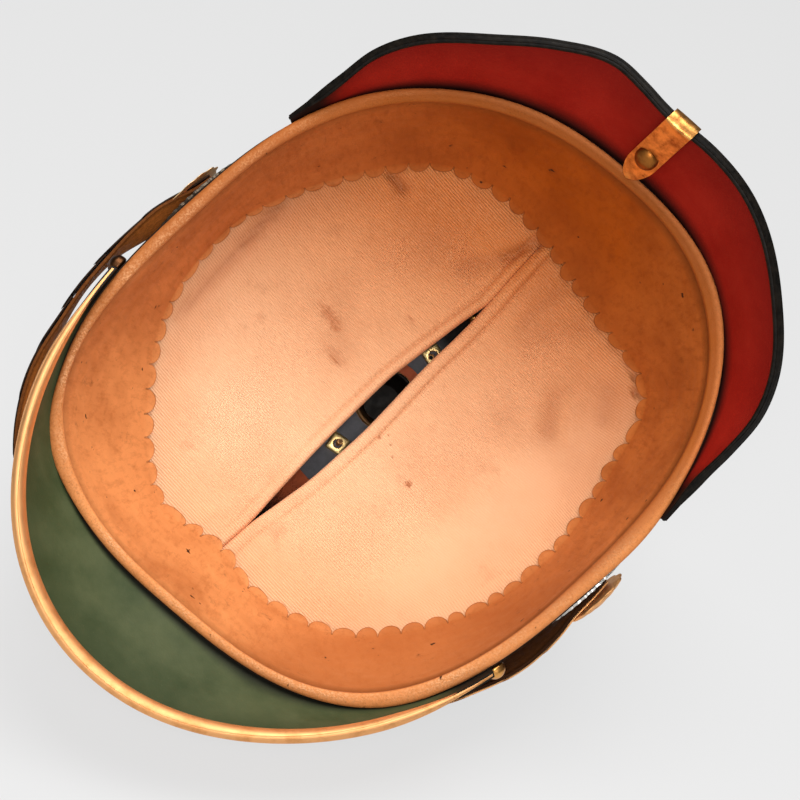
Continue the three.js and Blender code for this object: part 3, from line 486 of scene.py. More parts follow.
def black_recess_shade():
    """Painted shade inside the spike's tube and on the ends of posts: two blacks mixed by noise, turning to
    brass towards the front of the bore.
    """
    f = Finish("black_recess_shade", Metallic=0.4)
    black = f.mix(f.cloud(3, 4), (0.006, 0.004, 0.003, 1), (0.022, 0.014, 0.008, 1))
    f.colour(f.mix(f.toward(0, -1, 7, 11.5), black, (0.42, 0.20, 0.070, 1)))
    f.gloss(f.span(f.cloud(2, 3), 0.3, 0.7, 0.5, 0.75))
    return f.material


def pale_metal(name, bright, stained):
    """Bright mixed with stained by noise, with fine dents in the bump."""
    f = Finish(name, Metallic=0.9)
    stain = f.span(f.cloud(3, 5, 0.7), 0.5, 0.8)
    f.colour(f.mix(stain, bright, stained))
    f.gloss(f.span(f.cloud(2.5, 5), 0.3, 0.75, 0.36, 0.46))
    f.relief((f.cloud(1.2, 4), 0.010), (f.cloud(6, 3), 0.04))
    return f.material


def bright_silver():
    """Bright mixed with dull by noise, and painted dark towards the left as shade."""
    f = Finish("bright_silver", Metallic=1.0)
    dull = f.span(f.cloud(5, 6, 0.7), 0.45, 0.75)
    bright = f.mix(dull, (0.80, 0.78, 0.74, 1), (0.42, 0.40, 0.36, 1))
    # Painted shade: the left cockade is darkened, so that it shows little bright reflection.
    f.colour(f.mix(f.toward(1, 0, 30, 60), bright, (0.07, 0.055, 0.04, 1)))
    f.gloss(f.span(f.cloud(2, 4), 0.3, 0.75, 0.25, 0.45))
    f.relief((f.cloud(4, 3), 0.03))
    return f.material


brass = polished_brass("polished_brass", (0.84, 0.44, 0.18, 1), (0.62, 0.27, 0.08, 1))
# A paler brass for the left rosette, painted as a highlight.
highlight_brass = polished_brass("highlight_brass", (1.0, 0.66, 0.32, 1), (0.84, 0.46, 0.18, 1))
nut_brass = pale_metal("pale_brass", (1.0, 0.70, 0.30, 1), (0.86, 0.50, 0.18, 1))
tin = pale_metal("pale_tin", (0.90, 0.86, 0.80, 1), (0.50, 0.46, 0.40, 1))
old_brass = aged_brass("aged_brass", (0.76, 0.37, 0.10, 1), (0.30, 0.098, 0.024, 1))
brown_brass = aged_brass("brown_brass", (0.32, 0.115, 0.022, 1), (0.17, 0.052, 0.010, 1))
silver, recess_shade = bright_silver(), black_recess_shade()
metals = (brass, highlight_brass, nut_brass, tin, old_brass, brown_brass, silver, recess_shade)
print("made", [metal.name for metal in metals])

# %% [markdown]
# ## Crown disc
# Under the crown lies a round disc of dark stuff that spreads the pull of the spike's screws. Through
# the slit of the lining it shows blue-grey. It is a ring that follows the inside of the skull; its hole
# is cut wide at the rear, so that a patch of raw leather shows beside the tube.

# %% Make the crown disc
def dark_felt():
    """Two greys mixed by noise, painted black as shade towards the rear."""
    f = Finish("dark_felt", Specular_IOR_Level=0.25, Sheen_Weight=0.15)
    grey = f.mix(f.cloud(3, 6, 0.7), (0.11, 0.105, 0.115, 1), (0.28, 0.27, 0.285, 1))
    # Painted shade: the disc turns black towards the rear, where the lining shades it.
    f.colour(f.mix(f.toward(0, 1, 27, 34), grey, (0.016, 0.013, 0.011, 1)))
    f.gloss(f.span(f.cloud(1.2, 4), 0.3, 0.7, 0.5, 0.8))
    f.relief((f.cloud(0.6, 5, 0.7), 0.08), (f.cloud(4, 3), 0.2))
    return f.material


DISC_RADIUS, DISC_OUTER, DISC_INNER = 43.4, 2.85, 4.35
HOLE_SHIFT = 2.0


def disc_ring(sides=128, lanes=20):
    """A ring under the crown: the hole's radius swells with the sine of the angle, widest at the rear."""
    angle = np.linspace(0, TURN, sides, endpoint=False)[:, None]
    hole = CROWN_HOLE + HOLE_SHIFT * (1 + np.sin(angle))
    radius = hole + (DISC_RADIUS - hole) * np.linspace(0, 1, lanes)
    x, y = radius * np.cos(angle), radius * np.sin(angle)
    lower = np.stack([x, y, crown_height(radius, DISC_INNER)], axis=-1)
    upper = np.stack([x, y, crown_height(radius, DISC_OUTER)], axis=-1)
    return np.concatenate([lower, upper[:, ::-1]], axis=1)


add_piece("crown_disc", disc_ring(), [dark_felt()], ring=True)

# %% [markdown]
# ## Spike and its base
# The base is spun from sheet brass: a thin flange with a beaded edge lies on the crown, a hollow neck
# rises from it, and a short tube passes through the leather, where its mouth shows from inside. A
# collar and the plain spike screw on top. A few profile points through a Catmull-Rom curve give the
# soft transitions of spun metal; doubled points keep an edge crisp.

# %% Make the base, the collar and the spike
BASE_STEPS = 3


def base_profile():
    """The base's loop in two runs: outside, the flange's underside, beaded edge and top, and the neck;
    inside, the bore and the tube's mouth."""
    flange = np.linspace(12.05, 40, 14)
    below = np.stack([flange, crown_height(flange, -FIT)], 1)
    bead = crown_height(40, -FIT)
    edge = [(40.5, bead + 0.5), (40.3, bead + 1.4), (39.3, bead + 1.9), (38.2, bead + 1.5)]
    top = np.linspace(37, 20.5, 10)
    above = np.stack([top, crown_height(top, -FIT - 1.2)], 1)
    neck = [(19.4, 137.4), (18.9, 139.2), (17.9, 142.0), (16.2, 146.5), (15.2, 151), (14.4, 157),
            (14.0, 161.0), (14.2, 162.6), (15.4, 163.4), (15.9, 165.2), (15.5, 167.6), (15.2, 168)]
    bore = [(7.75, 168), (7.75, 167), (11.4, 162), (11.6, 155), (11.0, 142), (10.85, 131.2)]
    lip = [(10.9, 130.2), (11.3, 129.9), (11.8, 130.1), (12.05, 131)]
    return np.concatenate([below, edge, above, neck]), np.concatenate([bore, lip])


def flat_ring(profile, sides=128):
    """A closed profile carried round the axis, with one row for each angle."""
    return turned(profile, sides).swapaxes(0, 1)


outside, inside = base_profile()
base_loop = smooth_path(np.concatenate([outside, inside]), BASE_STEPS, closed=True)
within = np.arange(len(base_loop)) >= BASE_STEPS * len(outside)
# Inside the bore and at the tube's mouth, the base takes the painted black shade of the recess.
add_piece("spike_base", flat_ring(base_loop), [brass, recess_shade], ring=True, finish_of=within)
collar = [(7.75, 168.35), (7.75, 168.35), (13.9, 168.35), (15.0, 168.7), (16.4, 170.0), (16.4, 170.8),
          (15.0, 172.0), (13.9, 172.35), (7.75, 172.35), (7.75, 172.35)]
add_piece("spike_collar", flat_ring(smooth_path(collar, 5, closed=True)), [brass], ring=True)
SPIKE_SEAT, CONE_FOOT, CONE_LENGTH = 172.7, 3.4, 55.3
FOOT_RADIUS, TIP_RADIUS = 12.5, 1.6
share = np.linspace(0, 1, 40)
cone_radius = TIP_RADIUS + (FOOT_RADIUS - TIP_RADIUS) * (1 - share) ** 0.95
cone = np.stack([cone_radius, SPIKE_SEAT + CONE_FOOT + CONE_LENGTH * share], 1)
foot = [(7.4, 166.9), (7.4, SPIKE_SEAT), (11.6, SPIKE_SEAT + 0.05), (12.7, SPIKE_SEAT + 0.5),
        (13.1, SPIKE_SEAT + 1.4), (12.8, SPIKE_SEAT + 2.4), (12.4, SPIKE_SEAT + 2.9)]
point = [(1.35, SPIKE_TOP - 0.8), (0.9, SPIKE_TOP - 0.2), (0.3, SPIKE_TOP)]
spike = turned(np.concatenate([foot, cone, point]), 96)
# The spike's ends take the painted black shade; its foot lies inside the tube.
add_piece("spike", spike, [brass, recess_shade], cap_finish=1)

# %% [markdown]
# ## Star studs and square nuts
# Four studs with star heads hold the base. Their posts pass through the leather, and square brass nuts
# hold them inside, where two of them show in the slit: a soft square with a dark post in its middle. The
# head's radius swells with a star, the nut's with a soft square. The nuts lie nearly level, so their
# direction is the skull's own with a large share of straight up added.

# %% Make the studs and nuts
STUDS = {"front": (0, -12), "left": (90, 0), "rear": (180, 10), "right": (270, 0)}
STUD_CIRCLE = 25.9
NUT_WIDTH, NUT_TOP, NUT_THICKNESS = 7.5, -4.875, 3.0
NEARLY_LEVEL = np.array([0, 0, 4.0])


def star_stud():
    """A post with a star head: the swell fades from a circle on the post to a star on the head."""
    profile = np.array([(0.75, -8.67), (1.1, -8.6), (1.5, 1.9), (1.5, 1.92), (4.6, 1.92), (5.0, 2.2),
                        (4.7, 2.7), (3.0, 3.2), (1.2, 3.5), (0.2, 3.55)])
    weight = np.array([0, 0, 0, 0, 1, 1, 1, 0.7, 0.2, 0])[:, None]
    return turned(profile, 48, 1 + weight * (star(48, 6, 0.62) - 1))


def square_nut(width, top, thickness):
    """A square ring round the post, its face edges rounded over; swell makes the outside square."""
    half, bottom = width / 2, top - thickness
    profile = np.array([(1.65, top), (half - 0.3, top), (half, top - 0.3), (half, bottom + 0.7),
                        (half - 0.2, bottom + 0.25), (half - 0.6, bottom), (2.0, bottom),
                        (1.65, bottom + 0.3)])
    weight = np.array([0, 1, 1, 1, 1, 1, 0, 0])[:, None]
    return turned(profile, 64, 1 + weight * (square(64) - 1)).swapaxes(0, 1)


for side, (bearing, spin) in STUDS.items():
    bearing, spin, rise = math.radians(bearing), math.radians(spin), rise_at_radius(STUD_CIRCLE)
    seat, out = skull(bearing, rise), skull_out(bearing, rise)
    stud = seated(star_stud(), seat, out, spin)
    # The inner end of the post is painted black as shade.
    add_piece(f"base_stud_{side}", stud, [brass, recess_shade], cap_finish=1)
    nut = seated(square_nut(NUT_WIDTH, NUT_TOP, NUT_THICKNESS), seat, unit(out + NEARLY_LEVEL), spin)
    add_piece(f"base_nut_{side}", nut, [nut_brass], ring=True)

# %% [markdown]
# ## Visors
# Each visor is a bent sheet of leather sewn under the rim. At every bearing its profile leaves the rim,
# runs out by a reach and down by a drop, with a slight bow. The drop fades towards the sides as a cosine.
# The front reach fades as a bell that is a little narrower on the left; the rear visor has worn out of
# shape, so its reach follows a short table. Green and red were the usual colours of the undersides; the
# tops are black.

# %% Visor formulas
VISOR_LEATHER, SEAM_HEIGHT = 2.0, 1.2
FRONT_REACH, FRONT_FADE, LEFT_NARROWER = 29.6, 31.0, 2.2
FRONT = {"middle": 0.0, "drop": 30.0, "span": 65.5, "drop_span": 74.0, "bow": 0.06}
REAR = {"middle": 180.0, "drop": 40.0, "span": 69.3, "drop_span": 72.0, "bow": -0.06}
REAR_REACH = np.array([
    # bearing from the middle, reach before it is scaled up by a tenth
    (-72, 0.1), (-64, 1.7), (-58, 4.6), (-52, 9.1), (-46, 11.2), (-32, 12.1), (-23, 15.1), (-14, 18.1),
    (-8, 16.0), (-4, 14.4), (0, 13.9), (6, 14.7), (14, 15.0), (30, 12.3), (42, 12.1), (48, 10.2),
    (54, 5.8), (60, 2), (72, 0.1)], float) * (1, 1.1)


def smooth_table(rows, where):
    """Cubic spans between the rows of a table; the slope at a row is the mean of its two neighbours'."""
    keys, values = rows[:, 0], rows[:, 1:]
    steps = np.diff(values, axis=0) / np.diff(keys)[:, None]
    slope = np.pad((steps[1:] + steps[:-1]) / 2, ((1, 1), (0, 0)))
    i = np.clip(np.searchsorted(keys, where, "right") - 1, 0, len(keys) - 2)
    gap = (keys[i + 1] - keys[i])[..., None]
    t = (where - keys[i])[..., None] / gap
    rest = 1 - t
    ends_part = rest**2 * (1 + 2 * t) * values[i] + t**2 * (3 - 2 * t) * values[i + 1]
    return ends_part + gap * t * rest * (rest * slope[i] - t * slope[i + 1])


def front_reach(off):
    """A bell whose width eases to less on the left, minus a slight dip before its left end."""
    fade = FRONT_FADE - LEFT_NARROWER * ease(off, 15, 45)
    return FRONT_REACH * np.exp(-((off / fade) ** 2)) - 0.9 * np.exp(-(((off - 56) / 11) ** 2))


def visor_slopes(visor, off):
    """Reach by a bell in front and by a table at the rear; drop fades as a cosine."""
    off = np.asarray(off, float)
    reach = front_reach(off) if visor is FRONT else smooth_table(REAR_REACH, off)[..., 0]
    drop = visor["drop"] * np.cos(np.pi / 2 * np.minimum(np.abs(off) / visor["drop_span"], 1))
    return reach + FIT, drop


def visor_point(visor, off, share, lift):
    """Out by reach times share and down by drop times share, plus a parabola for the bow; lift moves
    square to that line, upward."""
    reach, drop = visor_slopes(visor, off)
    bulge = 4 * visor["bow"] * drop
    slope = -drop + bulge * (1 - 2 * share)
    length = np.hypot(reach, slope)
    out = FIT + reach * share - lift * slope / length
    up = SEAM_HEIGHT - drop * share + bulge * share * (1 - share) + lift * reach / length
    bearing = np.radians(visor["middle"] + off)
    return around(bearing, rim_radius(bearing) + out, up)


def visor_sheet(visor, stations=181, lanes=26):
    """The underside from rim to edge and the top back to the rim, where both faces are drawn in to the
    skull that they are sewn to."""
    off = np.linspace(-visor["span"], visor["span"], stations)[:, None]
    share = np.linspace(0, 1, lanes)
    shares = np.concatenate([share, share[::-1]])
    lift = np.concatenate([np.zeros(lanes), np.full(lanes, VISOR_LEATHER)])
    ripple = 0.35 * np.sin(off / 7.3 + 1) * np.sin(np.pi * shares)
    ripple = ripple + 0.2 * np.sin(off / 3.1) * shares * (1 - shares)
    sheet = visor_point(visor, off, shares, lift + ripple)
    bearing = np.radians(visor["middle"] + off)
    sheet[:, [0, -1]] = around(bearing, rim_radius(bearing) + 0.05, SEAM_HEIGHT + lift[[0, -1]])
    # The end trait marks where painted shade blackens the visor's ends.
    traits = {"share": shares, "end": 0.97 * ease(np.abs(off), visor["span"] - 13, visor["span"] - 6)}
    return sheet, traits


print("front edge", visor_point(FRONT, 0.0, 1.0, 0.0).round(1))
print("rear edge", visor_point(REAR, 0.0, 1.0, 0.0).round(1))

# %% [markdown]
# ## Green and red leather
# The undersides are dyed and finely pebbled, and rubbed paler in clouds. The colour is darker towards the
# edge, a painted sheen that is palest near the rim. Along the seam and at both ends it is painted black as
# shade, where the rim and the skull shade it. Small cells give the pebbles, clouds the dye, and two
# attributes say how near the seam and the ends are.

# %% Make the visors
def dyed_leather(name, specular, away_from_sheen, middle, pale, shades):
    """shades: how far the rim's shade reaches over the visor, as shares on the left and on the right."""
    f = Finish(name, Specular_IOR_Level=specular)
    share = f.trait("share")
    worn = f.span(f.cloud(22, 5, 0.6), 0.35, 0.7)
    dye = f.mix(worn, middle, pale)
    # Painted sheen: the colour darkens from the rim towards the edge.
    dye = f.mix(f.span(share, 0.45, 1.0, 0, 0.7), dye, away_from_sheen)
    specks = f.span(f.cloud(1.0, 3, 0.7), 0.62, 0.78, 0, 0.5)
    dye = f.mix(specks, dye, pale)
    # Painted shade: black along the seam, wider on the right, and at both ends.
    pace = f.span(f.toward(-1, 0, -60, 40), 0, 1, 1 / shades[0], 1 / shades[1])
    shade = f.span(f.reckon("MULTIPLY", share, pace), 0, 1, 0.97, 0, "SMOOTHSTEP")
    f.colour(f.mix(f.reckon("MAXIMUM", shade, f.trait("end")), dye, (0.006, 0.005, 0.004, 1)))
    f.gloss(f.span(f.cloud(6, 5), 0.3, 0.7, 0.5, 0.68))
    f.relief((f.cells(0.9), 0.035), (f.cloud(3, 5), 0.08), (f.cloud(25, 2), 0.6))
    return f.material


green = dyed_leather("green_leather", 0.2, (0.016, 0.030, 0.009, 1), (0.042, 0.058, 0.021, 1),
                     (0.086, 0.100, 0.043, 1), (0.05, 0.32))
red = dyed_leather("red_leather", 0.05, (0.130, 0.005, 0.004, 1), (0.250, 0.009, 0.005, 1),
                   (0.310, 0.015, 0.008, 1), (0.24, 0.2))
VISORS = [("front_visor", FRONT, green, "green_leather"), ("rear_visor", REAR, red, "red_leather")]
for name, visor, dye, slot in VISORS:
    grid, traits = visor_sheet(visor)
    top = np.arange(grid.shape[1]) >= grid.shape[1] // 2
    add_piece(name, grid, [dye, lacquer], finish_of=top, traits=traits)

# %% [markdown]
# ## Edge trims
# A half-round brass moulding grips the front visor's edge, and a narrow black leather binding grips the
# rear one. Both are a rounded channel carried along the edge. Its section is drawn in two measures, past
# the edge and above the underside, and shrinks towards the ends, where the trim runs out to a point. The
# binding is grey along the outer side of its curve, where it is rubbed and painted as lit, and painted
# black as shade on the inner side.

# %% Make the trim and the binding
SLOT_FIT = 0.45
LIT_RUBBED_FROM, LIT_RUBBED_TO = 15, 22


def edge_point(visor, off, past, above):
    """A point so far past the edge, along the visor's own slope, and so far above its underside."""
    reach, drop = visor_slopes(visor, off)
    share = 1 + np.minimum(past, 0) / np.hypot(reach, drop)
    edge = visor_point(visor, off, share, above)
    ahead = edge - visor_point(visor, off, share - 0.01, above)
    return edge + np.maximum(past, 0)[..., None] * unit(ahead)


def channel(visor, span, width, wall, taper, tapers_from, stations=241):
    """An oval round the visor's edge, with the leather's slot as its inner face."""
    off = np.linspace(-span, span, stations)[:, None]
    size = 1 - taper * ease(np.abs(off), tapers_from, span)
    angle = np.linspace(-0.86 * np.pi, 0.86 * np.pi, 28)
    lip, half = -0.9 * width, VISOR_LEATHER / 2
    top, bottom = VISOR_LEATHER + SLOT_FIT, -SLOT_FIT
    oval_past = -0.42 * width + 0.62 * width * np.cos(angle)
    oval_above = half + (half + SLOT_FIT + wall) * np.sin(angle)
    past = np.concatenate([oval_past, [lip, SLOT_FIT, SLOT_FIT, lip]])
    above = np.concatenate([oval_above, [top, top, bottom, bottom]])
    return edge_point(visor, off, past * size, half + (above - half) * (0.2 + 0.8 * size))


def binding_light_copy(name, dark, rubbed):
    """Dark mixed with rubbed by noise; it makes both the lit and the shaded copy of the binding."""
    f = Finish(name, Specular_IOR_Level=0.12)
    f.colour(f.mix(f.span(f.cloud(2.5, 6, 0.7), 0.4, 0.7), dark, rubbed))
    f.gloss(f.span(f.cloud(3, 5), 0.3, 0.7, 0.4, 0.6))
    f.relief((f.cloud(0.8, 4, 0.7), 0.05), (f.cloud(4, 4), 0.15))
    return f.material


add_piece("front_visor_trim", channel(FRONT, 65.2, 4.6, 0.9, 0.97, 44.0), [brass])
# Two copies of the binding's leather: black, painted as shade, and grey, painted as lit and rubbed.
binding = [binding_light_copy("shaded_black_binding", (0.002, 0.0015, 0.001, 1), (0.012, 0.009, 0.006, 1)),
           binding_light_copy("lit_rubbed_binding", (0.012, 0.010, 0.008, 1), (0.10, 0.082, 0.066, 1))]
grid = channel(REAR, 69.5, 2.6, 0.6, 0.92, 60.0)
lane = np.arange(grid.shape[1])
# The lanes along the outer side of the curve take the lit and rubbed copy.
rubbed = (lane >= LIT_RUBBED_FROM) & (lane < LIT_RUBBED_TO)
add_piece("rear_visor_binding", grid, binding, finish_of=rubbed)

# %% [markdown]
# ## Visor rivets
# A round knob stands on the skull where each end of the front trim runs out. It is turned from a short
# smooth profile.

# %% Make the visor rivets
RIVET_BEARING, RIVET_HEIGHT = 66.0, 5.0
SIDES = (("left", 1), ("right", -1))
knob = smooth_path([(2.4, 0.35), (3.5, 0.9), (3.6, 1.9), (3.25, 3.5), (1.6, 4.8), (0.2, 5.1)], 5)
for side, sign in SIDES:
    bearing, rise = math.radians(sign * RIVET_BEARING), rise_at_height(RIVET_HEIGHT)
    seat, out = skull(bearing, rise), skull_out(bearing, rise)
    add_piece(f"visor_rivet_{side}", seated(turned(knob, 48), seat, out), [old_brass])

# %% [markdown]
# ## Rear spine
# A brass strip runs from the spike's base down the back of the skull, over the rear visor, round its
# edge and back along the underside, where it ends in a round tab with a rivet. The strip is one path
# carried across its width: each row is asked for points on both sides of the middle, so that the strip
# follows the curve of the back. The last rows narrow by the formula of an ellipse, and the tab's end
# springs a little inward.

# %% Make the spine
SPINE_WIDTH, SPINE_THICKNESS, OVER_BINDING = 10.6, 1.0, 1.4
TAB_ROUNDING, TAB_SPRING, TAB_END = 11.0, 2.6, 0.09
SPINE_TOP_RADIUS, SPINE_FOOT_HEIGHT = 41.0, 7.0
SKULL_ROWS, OVER_ROWS, BEND_ROWS, TAB_ROWS = 50, 12, 12, 44
SPINE_LANES = np.linspace(-1, 1, 9)


def spine_shell(across, rises):
    """Points and directions on the back of the skull, across to the side of the middle line."""
    radius = np.abs(skull(np.pi, rises)[..., 1])[:, None]
    bearing = np.pi - np.arcsin(across / radius)
    out = skull_out(bearing, rises[:, None])
    return skull(bearing, rises[:, None]) + FIT * out, out


def spine_visor(across, shares, lift):
    """The same over or under the rear visor, at a lift from its underside."""
    radius = np.abs(visor_point(REAR, 0.0, shares, lift)[..., 1])[:, None]
    off = -np.degrees(np.arcsin(across / radius))
    at = visor_point(REAR, off, shares[:, None], lift)
    return at, unit(visor_point(REAR, off, shares[:, None], lift + np.sign(lift)) - at)


def spine_rows(half):
    """All rows from the crown to the tab's end, with half the width of each row: down the skull, over
    the visor, round its edge by half an oval, and back below. The tab's last rows ease inward."""
    across = half[:, None] * SPINE_LANES
    down = np.linspace(rise_at_radius(SPINE_TOP_RADIUS), rise_at_height(SPINE_FOOT_HEIGHT), SKULL_ROWS)
    upper = np.linspace(0.2, 1, OVER_ROWS)
    lower = TAB_END + (1 - TAB_END) * (1 - np.sin(np.linspace(0, np.pi / 2, TAB_ROWS)))
    back = spine_shell(across[:SKULL_ROWS], down)
    over = spine_visor(across[SKULL_ROWS:][:OVER_ROWS], upper, VISOR_LEATHER + OVER_BINDING)
    tab, tab_out = spine_visor(across[-TAB_ROWS:], lower, -OVER_BINDING)
    last, before = over[0][-1], over[0][-2]
    middle, arm = (last + tab[0]) / 2, (last - tab[0]) / 2
    ahead = 0.35 * unit(last - before) * np.linalg.norm(arm, axis=-1, keepdims=True)
    turn = np.linspace(0, np.pi, BEND_ROWS + 2)[1:-1, None, None]
    way = np.cos(turn) * arm + np.sin(turn) * ahead
    spring = TAB_SPRING * ease(np.linspace(0, 1, TAB_ROWS), 0.55, 1.0)[:, None, None]
    sprung = tab + spring * unit(-tab * (1, 1, 0))
    runs = [back, over, (middle + way, unit(way)), (sprung, tab_out)]
    return [np.concatenate(part) for part in zip(*runs)]


def spine_strip():
    """Inner and outer faces of the strip, narrowed by the formula of an ellipse at its end."""
    half = np.full(SKULL_ROWS + OVER_ROWS + BEND_ROWS + TAB_ROWS, SPINE_WIDTH / 2)
    middle = spine_rows(half)[0][:, len(SPINE_LANES) // 2]
    length = np.concatenate([[0], np.cumsum(np.linalg.norm(np.diff(middle, axis=0), axis=1))])
    past = np.clip(1 - (length[-1] - length) / TAB_ROUNDING, 0, 0.995)
    at, out = spine_rows(half * np.sqrt(1 - past**2))
    crown = SPINE_THICKNESS + 0.25 * (1 - SPINE_LANES**2)[:, None]
    return np.concatenate([at, (at + crown * out)[:, ::-1]], axis=1), length[-1]


strip, strip_length = spine_strip()
add_piece("rear_spine", strip, [old_brass])
print("the spine is", round(strip_length), "mm long")

# %% [markdown]
# ## Fastenings of the spine
# A stud with a small tin nut holds the spine's upper end, and a domed rivet sits on the tab below, its
# head knocked a little askew towards the opening.

# %% Make the spine's stud, nut and rivet
SPINE_STUD_RADIUS, SPINE_NUT_SPIN = 48.6, math.radians(20)
RIVET_SHARE, ASKEW = 0.39, np.array([0, 0, -0.75])
bearing, rise = np.pi, rise_at_radius(SPINE_STUD_RADIUS)
seat, out = skull(bearing, rise), skull_out(bearing, rise)
stud = [(1.0, -6.4), (1.5, -6.1), (1.5, 1.7), (1.5, 1.7), (3.4, 1.7), (3.4, 1.8), (3.1, 2.7), (2.0, 3.5),
        (0.3, 3.7)]
add_piece("spine_stud", seated(turned(stud, 48), seat, out), [old_brass])
nut = seated(square_nut(5.0, -3.2, 2.4), seat, unit(out + NEARLY_LEVEL / 2), SPINE_NUT_SPIN)
add_piece("spine_nut", nut, [tin], ring=True)
tab = visor_point(REAR, 0.0, RIVET_SHARE, -OVER_BINDING)
square_out = unit(visor_point(REAR, 0.0, RIVET_SHARE, -OVER_BINDING - 1) - tab)
tab_out = unit(square_out + ASKEW)
dome = smooth_path([(4.2, 0.4), (4.2, 0.4), (4.2, 2.4), (4.05, 2.9), (3.2, 3.8), (1.7, 4.4),
                    (0.2, 4.55)], 5)
add_piece("spine_rivet", seated(turned(dome, 48), tab, tab_out), [brown_brass])

# %% [markdown]
# ## Sweatband
# The sweatband is a band of thin tan leather. Its lower edge is rolled outward into a bead at the rim,
# and its upper edge is cut into round scallops that lie on the lining. The section runs from the roll
# up the inner face to the scallops and back down behind. The scallops are half circles along the edge
# that bend in over the lining. Columns crowd towards each notch by a cosine, so that it stays sharp. How
# far the band leans in at each bearing, and where the bead bulges, are two short tables.

# %% Sweatband shape
SCALLOPS, POINTS_EACH = 66, 14
BAND_HEIGHT, BAND_LEATHER = 50.0, 1.5
BAND_LEAN = np.array([
    # bearing, how far inside the rim the upper edge lies
    (-10, 21.8), (0, 25.8), (18, 23.6), (30, 28.4), (40, 29.2), (52, 25), (62, 19.4), (72, 15.4),
    (90, 12.6), (104, 16.4), (120, 20.2), (150, 21.4), (180, 31.4), (193, 35.2), (207, 32.4), (223, 19.4),
    (240, 19.4), (272, 13.9), (290, 15.6), (310, 21.2), (330, 21.4), (350, 21.8), (360, 25.8), (378, 23.6)],
    float)
BEAD_BULGES = [
    # bearing, half width in degrees, how far past the rim
    (34, 9, 2.3), (125, 20, 0.9), (205, 14, 1.4), (254, 12, 1.3), (315, 12, 1.2), (160, 14, 0.6)]
BEAD_POINTS = 13


def band_inset(bearing):
    """How far inside the rim the band's upper edge lies, by cubic spans over the table."""
    return smooth_table(BAND_LEAN, np.degrees(bearing) % 360)[..., 0]


def band_columns():
    """Bearings of all columns, their place across a scallop from -1 to 1, and the scallop's number."""
    step = np.arange(POINTS_EACH) * np.pi / POINTS_EACH
    number = np.repeat(np.arange(SCALLOPS), POINTS_EACH)
    across = np.tile(-np.cos(step), SCALLOPS)
    notch = np.arange(SCALLOPS) + 0.07 * np.random.default_rng(21).normal(size=SCALLOPS)
    notch = np.append(notch, notch[0] + SCALLOPS)
    place = notch[number] + (notch[number + 1] - notch[number]) * (0.5 + 0.5 * across)
    return place * TURN / SCALLOPS, across, number


def uneven(bearing, seed, waves=9):
    """A gentle closed wobble round the rim: a sum of whole-numbered sines with seeded phases."""
    rng = np.random.default_rng(seed)
    size, phase = rng.normal(size=waves), rng.uniform(0, TURN, waves)
    order = np.arange(2, waves + 2)
    return (size / order**0.5 * np.sin(bearing[..., None] * order + phase)).sum(-1)


def bead_rows(bearing, roll):
    """The bead: half an oval whose crest lies towards the inside. It hides the rim's edge, and stands
    out past it in a few places, by the sum of the table's bells."""
    past = sum((out * bell(bearing, middle, width) for middle, width, out in BEAD_BULGES), -0.5)
    turn = np.linspace(0, np.pi, BEAD_POINTS)[:, None]
    inside = -past + (roll + past) * ((1 - np.cos(turn)) / 2) ** 0.7
    return inside, -FIT - (1.8 + 0.12 * uneven(bearing, 5)) * np.sin(turn) ** 0.6


def wall_rows(bearing, roll, inset, rise):
    """The wall leans in by a parabola, draws back under the bead in a groove, and is a little wavy."""
    wave = 0.5 * uneven(bearing, 11) * np.sin(np.pi * rise)
    wave = wave + 0.3 * uneven(bearing + 2, 13, 16) * rise * (1 - rise)
    groove = 0.5 * np.exp(-((rise / 0.045) ** 2))
    inside = roll + 0.3 + (inset - roll - 0.3) * (0.44 * rise + 0.56 * rise**2) + wave - groove
    return inside, BAND_HEIGHT * rise + 0 * bearing


def tongue_rows(bearing, inset, lean, depth, lift):
    """A scallop bends in along an arc: a sum of short steps, each turned a little more than the last."""
    ends = np.array([0, 0.15, 0.35, 0.6, 0.82, 1.0])[:, None]
    middle, step = (ends[1:] + ends[:-1]) / 2, np.diff(ends, axis=0)
    angle = lean + (1.2 - lean) * middle**0.8
    inside = inset + np.cumsum(depth * step * np.sin(angle), axis=0)
    return inside, BAND_HEIGHT + np.cumsum(depth * step * np.cos(angle), axis=0) - lift * ends[1:] ** 2


